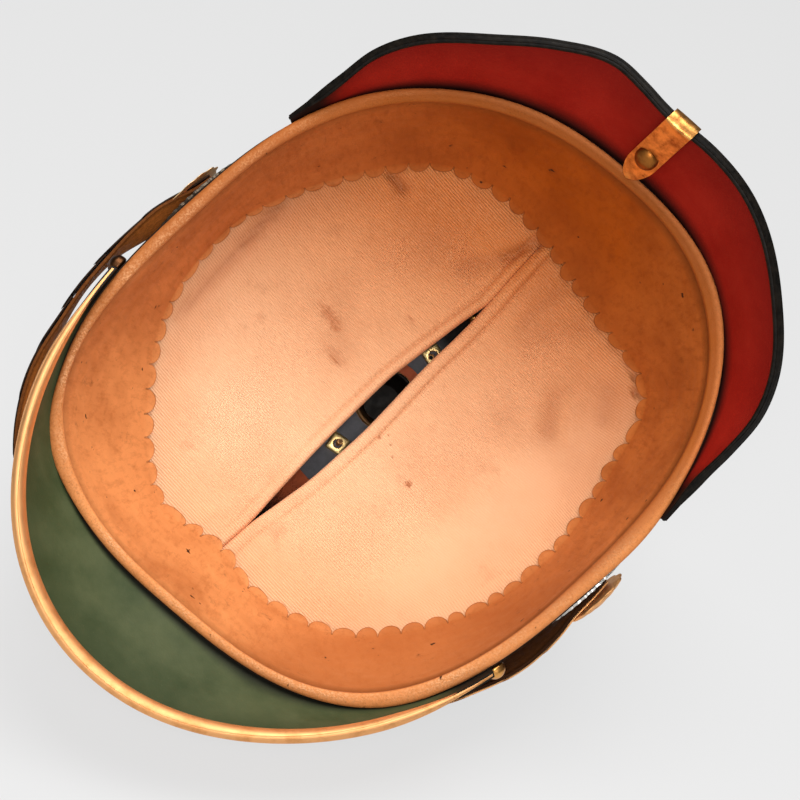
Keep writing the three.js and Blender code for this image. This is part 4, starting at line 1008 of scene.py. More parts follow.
def band_grid():
    """Sections of the band from the bead to the scallops and back behind, with two traits by point: how
    far up the band it lies, and how near a cut edge or the shaded inside of a notch."""
    bearing, across, number = band_columns()
    rng = np.random.default_rng(7)
    bow = np.sqrt(np.clip(1 - across**2, 0, 1))
    inset = band_inset(bearing) - 0.9
    roll = 4.4 + 1.3 * np.sin(bearing) ** 2 + 0.2 * uneven(bearing, 3) - 2.4 * bell(bearing, 42, 14)
    flatter = 1 - 0.35 * bell(bearing, 85, 28)
    depth = 4.3 * flatter * (1 + 0.09 * rng.normal(size=SCALLOPS))[number] * bow
    curl = 0.25 * rng.gamma(1.2, 0.8, SCALLOPS)[number] + 1.5 * bell(bearing, 116, 9)
    lean = np.arctan2((inset - roll) * 1.56, BAND_HEIGHT)
    rise = np.concatenate([[0.012, 0.03, 0.055], np.linspace(0.09, 0.96, 17), [0.985, 1.0]])[:, None]
    bead, wall = bead_rows(bearing, roll), wall_rows(bearing, roll, inset, rise)
    tongue = tongue_rows(bearing, inset, lean, depth, curl * bow**2)
    edge = (tongue[0][-1:] - 0.3, tongue[1][-1:] + 0.7)
    back = np.array([1.0, 0.85, 0.7, 0.55, 0.4, 0.25, 0.12, 0.02])[:, None]
    front_in = wall_rows(bearing, roll, inset, back)[0]
    back_in = np.minimum(np.maximum(front_in - BAND_LEATHER, LEATHER + 0.1), front_in - 0.3)
    under = (LEATHER + 0.1 + 0 * inset[None], -0.3 + 0 * inset[None])
    rows = [bead, wall, tongue, edge, (back_in, BAND_HEIGHT * back + 0.4 + 0 * bearing), under]
    insides, heights = (np.concatenate([row[i] for row in rows]) for i in (0, 1))
    on_bead, on_tongue = np.linspace(-0.1, 0, BEAD_POINTS), np.linspace(1.01, 1.05, len(tongue[0]))
    share = np.concatenate([on_bead, rise[:, 0], on_tongue, [1.05], back[:, 0], [0]])
    foot = BEAD_POINTS + len(rise) - 1
    tip = foot + len(tongue[0])
    cut = np.zeros(insides.shape)
    # The cut trait also carries painted shadow: it darkens the band in the notches between scallops.
    cut[foot:] = np.exp(-(((1 - np.abs(across)) / 0.13) ** 2))
    cut[tip : tip + 2] = 1
    grid = around(bearing, rim_radius(bearing) - insides, heights).swapaxes(0, 1)
    return grid, np.broadcast_to(share, grid.shape[:2]), cut.T


band, band_share, band_cut_and_notch_shade = band_grid()
print("sections of", band.shape[1], "points at", band.shape[0], "bearings")

# %% [markdown]
# ## Tan leather
# A century of heads has darkened the tan in clouds, streaks and stains. It is also darker towards the
# rear and on the right, as painted shade of the walls. The roll is paler and fuzzy on its crest and brown
# on its inner side at the sides and behind. It is dark in the groove beside the roll as painted shade, and
# streaked up the wall; the cut edges of the scallops are dark, and the notches carry painted shadow. All
# of this is colour by noise, steered by how far up the band and how far back a point lies.

# %% Make the sweatband
def tan_leather():
    """Tan mixed with browns layer by layer; a share is noise, a ramp over a trait or a place, or both."""
    f = Finish("tan_leather", Specular_IOR_Level=0.12)
    # rear steers painted shade: the tan darkens towards the rear wall.
    up, rear = f.trait("share"), f.toward(0, 1, -60, 92)
    tan = f.mix(rear, (0.77, 0.300, 0.098, 1), (0.38, 0.078, 0.004, 1))
    # Painted shade of the walls on the right: darker towards the right rear and the right front.
    tan = f.mix(f.reckon("MULTIPLY", f.toward(-0.8, 0.6, 70, 100), 0.5), tan, (0.66, 0.215, 0.045, 1))
    dusky = f.mix(rear, (0.42, 0.120, 0.028, 1), (0.22, 0.037, 0.002, 1))
    tan = f.mix(f.reckon("MULTIPLY", f.toward(-0.85, -0.53, 69, 86), 0.75), tan, dusky)
    tan = f.mix(f.span(f.cloud(30, 5, 0.62), 0.40, 0.72, 0, 0.7), tan, dusky)
    streak = f.span(f.cloud(2.4, 5, 0.7, f.stretched(1, 1, 0.12)), 0.48, 0.76, 0, 0.6)
    tan = f.mix(streak, tan, dusky)
    stain = f.span(f.cloud(9, 6, 0.74), 0.60, 0.74, 0, 0.55)
    tan = f.mix(stain, tan, (0.15, 0.036, 0.006, 1))
    # Painted shade in the groove beside the roll, stronger on the right.
    groove = f.reckon("MULTIPLY", f.span(up, -0.015, 0.01), f.span(up, 0.02, 0.12, 1, 0))
    right = f.toward(-0.9, 0.45, -40, 60)
    tan = f.mix(f.reckon("MULTIPLY", groove, f.span(right, 0, 1, 0.35, 0.85)), tan, (0.17, 0.040, 0.005, 1))
    worn = f.mix(rear, (0.74, 0.270, 0.082, 1), (0.76, 0.260, 0.078, 1))
    worn = f.mix(f.toward(1, 0, 40, 85), worn, (0.34, 0.088, 0.015, 1))
    bead = f.span(up, -0.02, -0.002, 1, 0)
    tan = f.mix(f.reckon("MULTIPLY", bead, f.span(f.cloud(1.8, 4, 0.7), 0.3, 0.7, 0.5, 0.95)), tan, worn)
    specks = f.span(f.cloud(0.9, 3, 0.8), 0.5, 0.64, 0, 0.55)
    tan = f.mix(f.reckon("MULTIPLY", bead, specks), tan, (0.36, 0.115, 0.030, 1))
    fuzz = f.reckon("MULTIPLY", f.span(up, -0.085, -0.055), f.span(up, -0.03, 0.0, 1, 0))
    fuzz = f.reckon("MULTIPLY", fuzz, f.span(f.cloud(22, 3), 0.4, 0.6, 0.3, 1.0))
    hairs = f.span(f.cloud(0.75, 2, 0.75), 0.42, 0.62)
    pale = f.mix(rear, (0.84, 0.42, 0.20, 1), (0.66, 0.27, 0.095, 1))
    tan = f.mix(f.reckon("MULTIPLY", fuzz, f.span(hairs, 0, 1, 0.1, 0.75)), tan, pale)
    flank = f.reckon("MULTIPLY", f.span(up, -0.07, -0.025), f.span(up, -0.01, 0.004, 0.9, 0))
    flank = f.reckon("MULTIPLY", flank, f.toward(0, 1, -45, 5))
    tan = f.mix(flank, tan, (0.36, 0.10, 0.025, 1))
    behind = f.reckon("MULTIPLY", f.span(up, -0.078, -0.052), f.span(up, 0.0, 0.012, 0.9, 0))
    tan = f.mix(f.reckon("MULTIPLY", behind, f.toward(0, 1, 15, 65)), tan, (0.33, 0.080, 0.010, 1))
    nick = f.span(f.cloud(4.5, 2), 0.725, 0.76)
    tan = f.mix(nick, tan, (0.05, 0.014, 0.004, 1))
    patchy = f.span(f.cloud(9, 3), 0.35, 0.65, 0.35, 0.95)
    # Dark cut edges of the scallops, and painted shadow in the notches.
    cut = f.reckon("MULTIPLY", f.span(f.trait("cut"), 0.45, 1.0), patchy)
    f.colour(f.mix(cut, tan, f.mix(rear, (0.24, 0.068, 0.016, 1), (0.08, 0.020, 0.004, 1))))
    f.gloss(f.span(f.cloud(5, 5), 0.3, 0.7, 0.55, 0.8))
    fuzzy = f.reckon("MULTIPLY", fuzz, hairs)
    f.relief((fuzzy, 0.12), (f.cells(0.7), 0.03), (f.cloud(1.6, 5, 0.65), 0.10), (f.cloud(14, 3), 0.4))
    return f.material


add_piece("sweatband", band, [tan_leather()], ring=True, crease=60,
          traits={"share": band_share, "cut": band_cut_and_notch_shade})

# %% [markdown]
# ## Silk lining
# Two panels of ribbed silk close the skull above the band and meet at a slit along the middle, where
# the crown shows. The ribs run across the head. Each panel is a dome over the plan of the band, with
# real ribs, a turned hem with a stitched line, and soft folds drawn from a short table of lines. The
# cloth lies on the inside of the band and is held all round, so it is worked out rather than simulated.

# %% Lining formulas
SILK_FOOT, SILK_RISE, SILK_TUCK, SILK, MEETING = 53.3, 10.0, 3.0, 0.55, 0.6
RIB = 0.92
HEM_WIDTH = {1: 4.2, -1: 5.3}
CLOSED = 0.03
SLIT = np.array([
    # place along the head, middle of the slit, half its width
    (-90, 0.8, 0.1), (-71, 0.4, 0.1), (-58, 0.2, 1.4), (-44, 0.0, 2.75), (-30, 0.3, 3.4),
    (-16, 0.55, 3.65), (-5, 1.0, 3.5), (5, 1.4, 3.15), (14, 1.3, 2.5), (23, 1.07, 1.95), (30, 0.75, 1.6),
    (38, 0.5, 1.05), (43, 0.3, 0.55), (48, 0.2, CLOSED), (60, 1.4, CLOSED), (85, 3.2, CLOSED)], float)
FOLDS = np.array([
    # from x, y to x, y in helmet millimetres; height toward the viewer and half width
    (80.0, 22.0, 77.0, -4.0, -1.7, 2.2), (77.0, -2.0, 74.0, -40.0, -1.4, 2.2),
    (74.0, 26.0, 69.5, -36.0, 0.6, 3.6), (3.5, 79.0, 9.0, 63.0, -2.2, 2.6),
    (9.0, 63.0, 18.0, 48.0, -0.9, 4.0), (12.0, 80.0, 19.0, 60.0, 0.8, 3.4),
    (-2.5, 48.0, 0.0, 80.0, 0.7, 1.8), (-9.0, 46.0, -8.0, 78.0, 0.5, 2.4),
    (-13.0, 50.0, -15.0, 76.0, -0.7, 2.8), (61.4, 54.4, 50.8, 54.0, -2.0, 2.2),
    (-39.5, 47.0, -51.3, 30.0, -1.0, 4.5), (-47.0, 49.0, -58.0, 34.0, 1.2, 4.0),
    (-36.0, 40.0, -45.0, 26.0, 0.5, 4.0), (-52.0, 62.0, -62.0, 48.0, -0.8, 4.0),
    (-57.5, 71.0, -56.5, 68.0, -2.4, 1.9), (-61.5, 67.0, -60.0, 64.5, -2.4, 1.9),
    (-14.0, 46.0, -34.0, 72.0, -0.6, 5.0), (20.0, -8.0, 46.0, 16.0, -0.6, 8.0),
    (52.0, 40.0, 46.0, 30.0, -0.35, 1.4), (-6.0, -60.0, -12.0, -82.0, 0.5, 3.0),
    (6.0, -58.0, 14.0, -84.0, 0.5, 3.0), (-30.0, 20.0, -56.0, 34.0, -0.5, 9.0)])


def silk_rim(bearing):
    """The panels' outer edge: the band's upper edge, and a tuck further out behind the scallops."""
    return rim_radius(bearing) - band_inset(bearing) + SILK_TUCK


def silk_height(x, y):
    """A shallow dome: highest in the middle, falling with the square of the way to the edge."""
    way = np.hypot(x, y) / silk_rim(np.arctan2(x, -y))
    return SILK_FOOT + SILK_RISE * (1 - way**2)


def slit_edge(y, sign):
    """Where a panel ends at the slit, whose middle and half width follow the table along the head."""
    middle, half = np.moveaxis(smooth_table(SLIT, y), -1, 0)
    return middle + sign * np.maximum(half, CLOSED)


def silk_outline(sign):
    """A panel's outer edge from its foremost point to its rearmost one: y and distance to the side."""
    bearing = np.linspace(0, np.pi, 4000)
    rim = silk_rim(sign * bearing)
    along, across = -rim * np.cos(bearing), rim * np.sin(bearing)
    ends = slice(along.argmin(), along.argmax() + 1)
    return along[ends], across[ends]


def silk_reach(y, sign):
    """How far a panel reaches sideways: the edge's x where its y has this value."""
    along, across = silk_outline(sign)
    return np.interp(y, along, across)


def fold_relief(x, y):
    """Each fold is a ridge or valley along a line, with a bell across it that fades at both ends."""
    x0, y0, x1, y1, height, width = (FOLDS[:, i] for i in range(6))
    x, y = x[..., None], y[..., None]
    length2 = (x1 - x0) ** 2 + (y1 - y0) ** 2
    along = ((x - x0) * (x1 - x0) + (y - y0) * (y1 - y0)) / length2
    near = np.clip(along, 0, 1)
    gap2 = (x - x0 - near * (x1 - x0)) ** 2 + (y - y0 - near * (y1 - y0)) ** 2
    fade = ease(along, -0.15, 0.2) * ease(-along, -1.15, -0.8)
    return (height * fade * np.exp(-gap2 / width**2)).sum(-1)


def rib_phase(x, y):
    """Ribs lie across the head and sweep back by a parabola near the sides."""
    sweep = 0.0011 * np.maximum(x - 36, 0) ** 2 + 0.004 * np.maximum(-38 - x, 0) ** 2
    return np.cos(TURN * (y - sweep) / RIB)


def hem_lines(y, off, sign):
    """The hem is a soft roll beside the slit, and a stitched valley past it; both fade to the front."""
    width = HEM_WIDTH[sign]
    strength = 0.35 + 0.65 * ease(y, -50, 0)
    roll = strength * np.clip(1 - (off / (width / 2) - 1) ** 2, 0, 1)
    valley = strength * np.exp(-(((off - width) / 0.75) ** 2)) * (0.85 + 0.15 * np.cos(TURN * y / 2.6))
    return roll, valley


def silk_relief(x, y, off, sign):
    """Towards the viewer: ribs, hem, slack and folds, less the turn of the cloth at the slit, which is
    slight behind, where the panels are sewn together."""
    roll, valley = hem_lines(y, off, sign)
    way = np.hypot(x, y) / silk_rim(np.arctan2(x, -y))
    slack = 0.4 * np.sin(x / 17 + y / 23) + 0.3 * np.sin(x / 9.5 - y / 14 + 1)
    turned_in = (1.3 - 1.05 * ease(y, 44, 52)) * np.clip(1 - off / 1.2, 0, 1) ** 2
    soft = slack + fold_relief(x, y) + 0.75 * roll - 0.6 * valley - turned_in
    return 0.12 * rib_phase(x, y) + soft * ease(1 - way, -0.01, 0.06)


def lining_panel(sign, rows=980):
    """Rows across the head from the slit to behind the scallops, with close lanes on the hem."""
    along = silk_outline(sign)[0]
    y = np.linspace(along[0] + MEETING, along[-1] - MEETING, rows)[:, None]
    near = slit_edge(y, sign)
    width = np.maximum(silk_reach(y, sign) - sign * near, 4)
    hem = np.minimum(7.0, 0.4 * width)
    on_hem, past_hem = np.linspace(0, 1, 15)[:-1], np.linspace(0, 1, 32)
    off = np.concatenate([hem * on_hem, hem + (width - hem) * past_hem], axis=1)
    x, y = near + sign * off, y + 0 * off
    flat = np.stack([x, y, silk_height(x, y)], axis=-1)
    up = np.array([0, 0, 1.0])
    inner = flat - silk_relief(x, y, off, sign)[..., None] * up
    outer = inner + SILK * up
    way = np.hypot(x, y) / silk_rim(np.arctan2(x, -y))
    # How strong the painted shade between ribs is: most near the edge and towards the rear.
    rib_shade_strength = 0.25 + 0.75 * np.maximum(ease(way, 0.72, 0.92), 0.5 * ease(y, 15, 60))
    lines = {"rib": rib_shade_strength * np.clip(-rib_phase(x, y), 0, 1), "valley": hem_lines(y, off, sign)[1],
             "crease": np.clip(-fold_relief(x, y) / 1.6, 0, 1)}
    both = {name: np.concatenate([line, line[:, ::-1]], axis=1) for name, line in lines.items()}
    return np.concatenate([inner, outer[:, ::-1]], axis=1), flat, both


print("the left panel reaches", silk_reach(np.array(0.0), 1).round(1), "mm to the side")

# %% [markdown]
# ## Silk finish
# Corded silk has a soft sheen along its ribs. It has yellowed in large clouds and carries brown spots,
# smudges and a few rust dots. It is deeper and darker towards the rear, as painted shade of the rear
# wall, and deeper orange towards the right front. The ribs are real; the finish darkens the lines between
# them, most near the edge and towards the rear, the folds and the stitched valley of the hem as painted
# shade, and adds the weave and the stains.

# %% Make the lining
MARKS = [
    # middle x, y; half length in x, in y; strength
    (-28.5, -18.0, 1.5, 1.5, 0.8), (-8.7, -14.2, 0.8, 0.7, 0.7), (-10.4, -11.3, 0.6, 0.5, 0.6),
    (-13.6, -13.0, 0.7, 0.6, 0.6), (-17.3, -15.7, 0.6, 0.5, 0.5), (36.5, 2.8, 6.5, 2.6, 0.55),
    (32.0, 1.0, 2.5, 1.2, 0.5), (22.6, -7.0, 3.6, 0.5, 0.6), (24.0, -6.0, 6.0, 2.6, 0.3),
    (15.5, 24.0, 2.4, 0.6, 0.5)]


def peach_silk():
    """Peach mixed with browns layer by layer: by place, noise, three traits and an oval for each mark."""
    f = Finish("peach_silk", Specular_IOR_Level=0.25, Sheen_Weight=0.12, Sheen_Roughness=0.4)
    f.shader.inputs["Sheen Tint"].default_value = (1, 0.8, 0.62, 1)
    # rear steers painted shade: the silk darkens towards the rear wall.
    rear = f.toward(0.32, 0.95, -32, 65)
    base = f.mix(rear, (0.97, 0.58, 0.335, 1), (0.70, 0.225, 0.052, 1))
    base = f.mix(f.reckon("MULTIPLY", f.toward(-0.8, -0.6, 5, 70), 0.6), base, (0.90, 0.43, 0.205, 1))
    dusky = f.mix(rear, (0.70, 0.30, 0.13, 1), (0.44, 0.115, 0.022, 1))
    base = f.mix(f.span(f.cloud(42, 4), 0.42, 0.72, 0, 0.45), base, dusky)
    # Painted shade in the lines between ribs, in the creases of folds and in the hem's stitched valley.
    base = f.mix(f.trait("rib"), base, dusky)
    shadowed = f.mix(rear, (0.56, 0.20, 0.072, 1), (0.36, 0.085, 0.012, 1))
    base = f.mix(f.reckon("MULTIPLY", f.trait("crease"), 0.65), base, shadowed)
    base = f.mix(f.reckon("MULTIPLY", f.trait("valley"), 0.6), base, dusky)
    base = f.mix(f.span(f.cloud(0.55, 2, 0.7), 0.45, 0.75, 0, 0.2), base, (0.95, 0.58, 0.34, 1))
    stain = f.span(f.cloud(16, 6, 0.7), 0.60, 0.76, 0, 0.35)
    base = f.mix(stain, base, (0.45, 0.155, 0.055, 1))
    ragged = f.span(f.cloud(1.2, 3), 0.3, 0.7, -0.4, 0.4)
    for x, y, wide, high, strength in MARKS:
        inputs = {0: f.stretched(1 / wide, 1 / high, 0), 1: (x / wide, y / high, 0)}
        gap = f.reckon("ADD", f.add("VectorMath", "Value", inputs, operation="DISTANCE"), ragged)
        base = f.mix(f.span(gap, 0.3, 1.2, strength, 0), base, (0.42, 0.110, 0.026, 1))
    f.colour(base)
    f.gloss(f.span(f.cloud(3, 4), 0.3, 0.7, 0.5, 0.68))
    f.relief((f.cloud(0.35, 2, 0.7), 0.03))
    return f.material


silk_finish = peach_silk()
for side, sign in SIDES:
    grid, flat, lines = lining_panel(sign)
    panel = add_piece(f"lining_{side}", grid, [silk_finish], traits=lines, crease=80)

# %% [markdown]
# ## Plates that follow the skull
# Cockades and the front plate are pressed from sheet metal and bent to the skull. A polar grid round a
# seat gives each point an angle and a distance. The distance upward is walked along the skull in small
# steps, all points at once, and the distance sideways becomes a change of bearing.

# %% Plate formula
def climb(bearing, rise, distance, steps=24):
    """The rise that lies a distance up the skull: small steps, each divided by the local pace."""
    rise = np.broadcast_to(rise, distance.shape)
    nudge = 1e-3
    for _ in range(steps):
        pace = np.linalg.norm(skull(bearing, rise + nudge) - skull(bearing, rise), axis=-1) / nudge
        rise = rise + distance / steps / pace
    return rise


def plate_point(bearing, height, radius, angle, lift):
    """Radius and angle round a seat on the skull, laid along its surface and lifted off it."""
    across, upward = np.broadcast_arrays(radius * np.cos(angle), radius * np.sin(angle))
    rise = climb(bearing, rise_at_height(height), upward)
    level = skull(bearing, rise)
    here = bearing + across / np.hypot(level[..., 0], level[..., 1])
    return skull(here, rise) + np.asarray(lift)[..., None] * skull_out(here, rise)


def bent_plate(bearing, height, stand, angle, radius, thickness):
    """Underside and top of a plate; radius and thickness are (angles, rows) arrays from hole to edge."""
    low = plate_point(bearing, height, radius, angle, np.full(radius.shape, stand))
    high = plate_point(bearing, height, radius, angle, stand + thickness)
    return np.concatenate([low, high[:, ::-1]], axis=1)


FITTING_HEIGHT = 24.0
above = plate_point(np.pi / 2, FITTING_HEIGHT, np.array(5.0), np.array(np.pi / 2), 0.0)
print("5 mm up the skull from the left fittings", above.round(1))

# %% [markdown]
# ## Front plate
# The front plate is hidden under the helmet here. It is finished as a plain eight-rayed star with a
# domed boss: a saw-tooth round the angle gives the rays, and finer teeth give each ray its flutes.

# %% Make the front plate and its boss
PLATE_HEIGHT, PLATE_STAND = 66.0, 1.2
RAYS, FLUTES = 8, 40
RAY_TIP, RAY_VALLEY, PLATE_HOLE = 46, 33, 9
angle = np.linspace(0, TURN, 256, endpoint=False)[:, None]
tooth = np.abs((angle * RAYS / TURN + 0.5) % 1 - 0.5) * 2
edge = RAY_TIP * RAY_VALLEY / (RAY_VALLEY + (RAY_TIP - RAY_VALLEY) * tooth)
share = np.array([0, 0.06, 0.2, 0.4, 0.6, 0.8, 0.93, 1.0])
radius = PLATE_HOLE + (edge - PLATE_HOLE) * share
flute = np.abs((angle * FLUTES / TURN) % 1 - 0.5)
thickness = 1.0 + 1.1 * (1 - tooth) * np.sin(np.pi * share**0.8) + 0.35 * flute * np.sin(np.pi * share)
plate = bent_plate(0.0, PLATE_HEIGHT, PLATE_STAND, angle, radius, thickness)
add_piece("front_plate", plate, [brass], ring=True, crease=25)
rise = rise_at_height(PLATE_HEIGHT)
seat, out = skull(0.0, rise), skull_out(0.0, rise)
boss = smooth_path([(8.3, 0.7), (8.3, 0.7), (8.3, 3.31), (8.3, 3.31), (12.0, 3.31), (12.1, 3.9),
                    (11.1, 4.8), (9.9, 4.9), (8.6, 5.9), (6.0, 7.4), (3.0, 8.2), (0.3, 8.3)], 4)
add_piece("front_plate_boss", seated(turned(boss, 64), seat, out), [brass])

# %% [markdown]
# ## Chin strap
# The strap is one leather loop from the right rosette over the front visor to the left one. Its path is
# a table by bearing: how far it stands off the skull, its height, its width and how much it leans out.
# The section is a flat bar with rounded edges; a little waviness shows that it is old leather.

# %% Strap path
STRAP = np.array([
    # bearing, stand, height, width, lean
    (-98, 1.9, 24, 12, 3.6), (-91, 2.6, 24, 18, 3.6), (-85, 3.1, 23.6, 19, 5), (-80, 4.1, 22.3, 19, 9.5),
    (-72, 4.8, 20.5, 19, 12), (-66, 4.3, 19.5, 18.5, 10), (-60, 3.3, 18.5, 18, 7), (-52, 3.2, 15.5, 17.5, 5),
    (-45, 4.4, 11.5, 17, 9), (-25, 10.2, 1, 15, 24), (0, 13, -2.6, 14, 30), (25, 11.4, 0.8, 15, 26),
    (40, 8.4, 7, 16, 19), (47, 7.6, 9.4, 18, 8), (54, 6.7, 12, 17, 0), (62, 6.8, 14.8, 16.5, -2),
    (68, 6.3, 17.3, 17, 1), (74, 5.0, 19.8, 18, 11), (79, 4.3, 22, 19, 14), (83, 3.5, 23.2, 19, 10),
    (87, 2.5, 23.9, 18.6, 5), (91, 1.9, 24, 18, 3.6), (98, 1.9, 24, 12, 3.6)], float)
STRAP_LEATHER, SCALE_SEAT = 1.4, 0.6
STRAP_ENDS = (-95.0, 91.5)


def strap_middle(bearing):
    """The middle of the strap's inner face: the skull's wall at that height, moved out by the stand."""
    stand, height = np.moveaxis(smooth_table(STRAP, bearing)[..., :2], -1, 0)
    angle = np.radians(bearing)
    wall = skull(angle, rise_at_height(np.maximum(height, 0)))
    return around(angle, np.hypot(wall[..., 0], wall[..., 1]) + stand, height)


def strap_point(bearing, up, out):
    """up runs from -1 to 1 over the width; out is square to the face, away from the skull."""
    width, lean = np.moveaxis(smooth_table(STRAP, bearing)[..., 2:], -1, 0)
    ahead = strap_middle(bearing + 0.2) - strap_middle(bearing - 0.2)
    level = unit(np.stack([ahead[..., 1], -ahead[..., 0], 0 * lean], axis=-1))
    tilt = np.radians(lean)[..., None]
    rise = np.array([0, 0, 1.0])
    outward = level * np.cos(tilt) + rise * np.sin(tilt)
    upward = rise * np.cos(tilt) - level * np.sin(tilt)
    beside = (up * width / 2)[..., None] * upward + np.asarray(out)[..., None] * outward
    return strap_middle(bearing) + beside


middle = strap_middle(np.linspace(*STRAP_ENDS, 800))
strap_length = np.linalg.norm(np.diff(middle, axis=0), axis=1).sum()
print("the strap is", round(strap_length), "mm long")

# %% [markdown]
# ## Strap leather and scales
# The strap's inner face is bare brown leather with dark edges, painted darker as shade towards the right.
# On its outer face lie brass scales, each one tucked under the next and dark where it is tucked. A scale
# is a thin arched plate with a round front edge; one formula gives all the scales of a side as copies in
# one grid. On the left the scales' edges and undersides are painted black as shade.

# %% Make the strap and the scales
def strap_leather():
    """Two browns mixed by fibre noise, dark towards both edges and towards the right."""
    f = Finish("strap_leather", Specular_IOR_Level=0.02)
    fibre = f.cloud(1.3, 6, 0.7)
    brown = f.mix(f.span(fibre, 0.3, 0.7), (0.50, 0.125, 0.020, 1), (1.0, 0.320, 0.065, 1))
    dark = f.span(f.trait("across"), 0.72, 0.97)
    brown = f.mix(f.reckon("MULTIPLY", dark, 0.85), brown, (0.016, 0.007, 0.004, 1))
    shaded = f.span(f.add("SeparateXYZ", 0, {0: f.place}), -30.0, 30.0, 0.8, 0)
    f.colour(f.mix(shaded, brown, (0.012, 0.006, 0.004, 1)))
    f.gloss(f.span(f.cloud(4, 5), 0.3, 0.7, 0.42, 0.7))
    f.relief((fibre, 0.1), (f.cloud(5, 4), 0.3))
    return f.material


turn = np.linspace(0, TURN, 36, endpoint=False)
box = (np.abs(np.cos(turn)) ** 8 + np.abs(np.sin(turn)) ** 8) ** (-1 / 8)
across, through = np.cos(turn) * box, np.sin(turn) * box
stations = np.linspace(*STRAP_ENDS, 320)[:, None]
wavy = 0.25 * np.sin(stations / 3.7) + 0.15 * np.sin(stations / 1.9 + 2)
bearing, up = np.broadcast_arrays(stations, across)
strap_grid = strap_point(bearing, up, 0.7 + 0.7 * through + 0.3 * wavy * across**2)
add_piece("chin_strap", strap_grid, [strap_leather()],
          traits={"across": np.abs(across)}, crease=60)

SCALES, SCALES_START, SCALED = 9, 2.5, 82.0
SCALE_LANES, EDGE_LANES, SCALE_WIDTH = 17, 3, 0.82


def scale_lanes():
    """Places across a scale from edge to edge, over its top and back below, and 1 for those on top."""
    lane = np.linspace(-1, 1, SCALE_LANES)
    return np.concatenate([lane, lane[::-1]]), np.repeat([1.0, 0.0], SCALE_LANES)


def scale_row(sign):
    """Each scale runs from a round, lifted front edge back under its neighbour; it is arched across."""
    pitch = (SCALED - SCALES_START) / SCALES
    number = np.arange(SCALES)[:, None, None]
    lane, top = scale_lanes()
    along = np.linspace(0, 1, 12)[:, None]
    start = 0.42 * lane**2
    way = start + (1.3 - start) * along
    bearing = sign * (SCALES_START + (number + way) * pitch)
    lift = 0.6 * (1 - way) + 0.3 * (1 - lane**2) + 0.5 * top
    up = np.broadcast_to(SCALE_WIDTH * lane * (1 - 0.10 * (1 - along)), bearing.shape)
    out = np.broadcast_to(STRAP_LEATHER + SCALE_SEAT + lift, bearing.shape)
    tucked = np.broadcast_to(0.9 * np.exp(-(((1 + start - way) / 0.17) ** 2)), bearing.shape)
    return strap_point(bearing, up, out), tucked


def scale_tail(sign):
    """The plain plate under the rosette, from the last scale to the strap's end."""
    lane, top = scale_lanes()
    along = np.linspace(sign * (SCALED - 1), STRAP_ENDS[int(sign > 0)], 12)[:, None]
    bearing, up = np.broadcast_arrays(along, SCALE_WIDTH * lane)
    return strap_point(bearing, up, np.broadcast_to(STRAP_LEATHER + SCALE_SEAT + 0.5 * top, bearing.shape))


for side, sign in SIDES:
    scales, tucked = scale_row(sign)
    tail = scale_tail(sign)[None]
    lane = np.arange(2 * SCALE_LANES)
    # On the left the scales' edges, undersides and ends are painted in the dark edge finish, as shade.
    shaded = ((lane < EDGE_LANES) | (lane >= SCALE_LANES - EDGE_LANES)) & (sign > 0)
    low = np.concatenate([tucked, np.zeros(tail.shape[:3])])
    add_piece(f"chin_scales_{side}", np.concatenate([scales, tail]), [brass, dark_edge_and_shade],
              finish_of=shaded, cap_finish=int(sign > 0), traits={"low": low}, crease=50)

# %% [markdown]
# ## Cockades and rosettes
# At each side a silvered, fluted disc lies against the skull, and a brass rosette over it pins the
# strap. Flutes and petals are waves round the angle that grow towards the edge. The left rosette has been
# pressed flat and is a paler brass, as a painted highlight; on both, the ring round the middle and the
# lines between petals are dark.

# %% Make the cockades and rosettes
angle = np.linspace(0, TURN, 240, endpoint=False)[:, None]
share = np.array([0, 0.25, 0.5, 0.7, 0.85, 0.95, 1.0])
flute = 0.5 + 0.5 * np.cos(40 * angle)
radius = 2.75 + (22 + 0.4 * flute - 2.75) * share
fluted = flute * ease(share, 0.72, 0.85) * ease(-share, -1.0, -0.92)
thickness = 0.75 + 0.75 * np.exp(-(((share - 0.68) / 0.09) ** 2)) + 0.45 * fluted
PETAL_POINTS, PETALS = 144, 12
FITTINGS = {
    # bearing, how much of its height the rosette's head keeps, how far further out it stands, finish
    "left": (86.6, 0.4, 0.0, highlight_brass), "right": (-91.0, 1.0, 0.7, brass)}
HEAD_FROM, HEAD_SEAT = 4.9, 5.05
petal = np.linspace(0, TURN, PETAL_POINTS, endpoint=False)
foot = np.array([(1.2, 0.7), (2.4, 0.75), (2.4, 5.0), (2.4, 5.05)])
bowl = smooth_path([(11.4, 5.05), (12.4, 5.4), (12.3, 6.1), (10.6, 6.8), (9.0, 7.3), (7.2, 7.4),
                    (5.4, 7.5), (4.6, 8.0), (3.2, 8.5), (1.6, 8.6), (0.2, 8.65)], 3)
rosette_profile = np.concatenate([foot, bowl])
width = rosette_profile[:, :1]
swell = 1 + 0.035 * np.cos(PETALS * petal) * ease(width, 4.5, 9.0)
moat = 0.8 * np.exp(-(((width - 6.3) / 0.9) ** 2)) + 0 * petal
petalled = ease(width, 7.0, 8.5) * ease(-width, -11.4, -10.0)
between = 0.6 * (0.5 - 0.5 * np.cos(PETALS * petal)) ** 2 * petalled
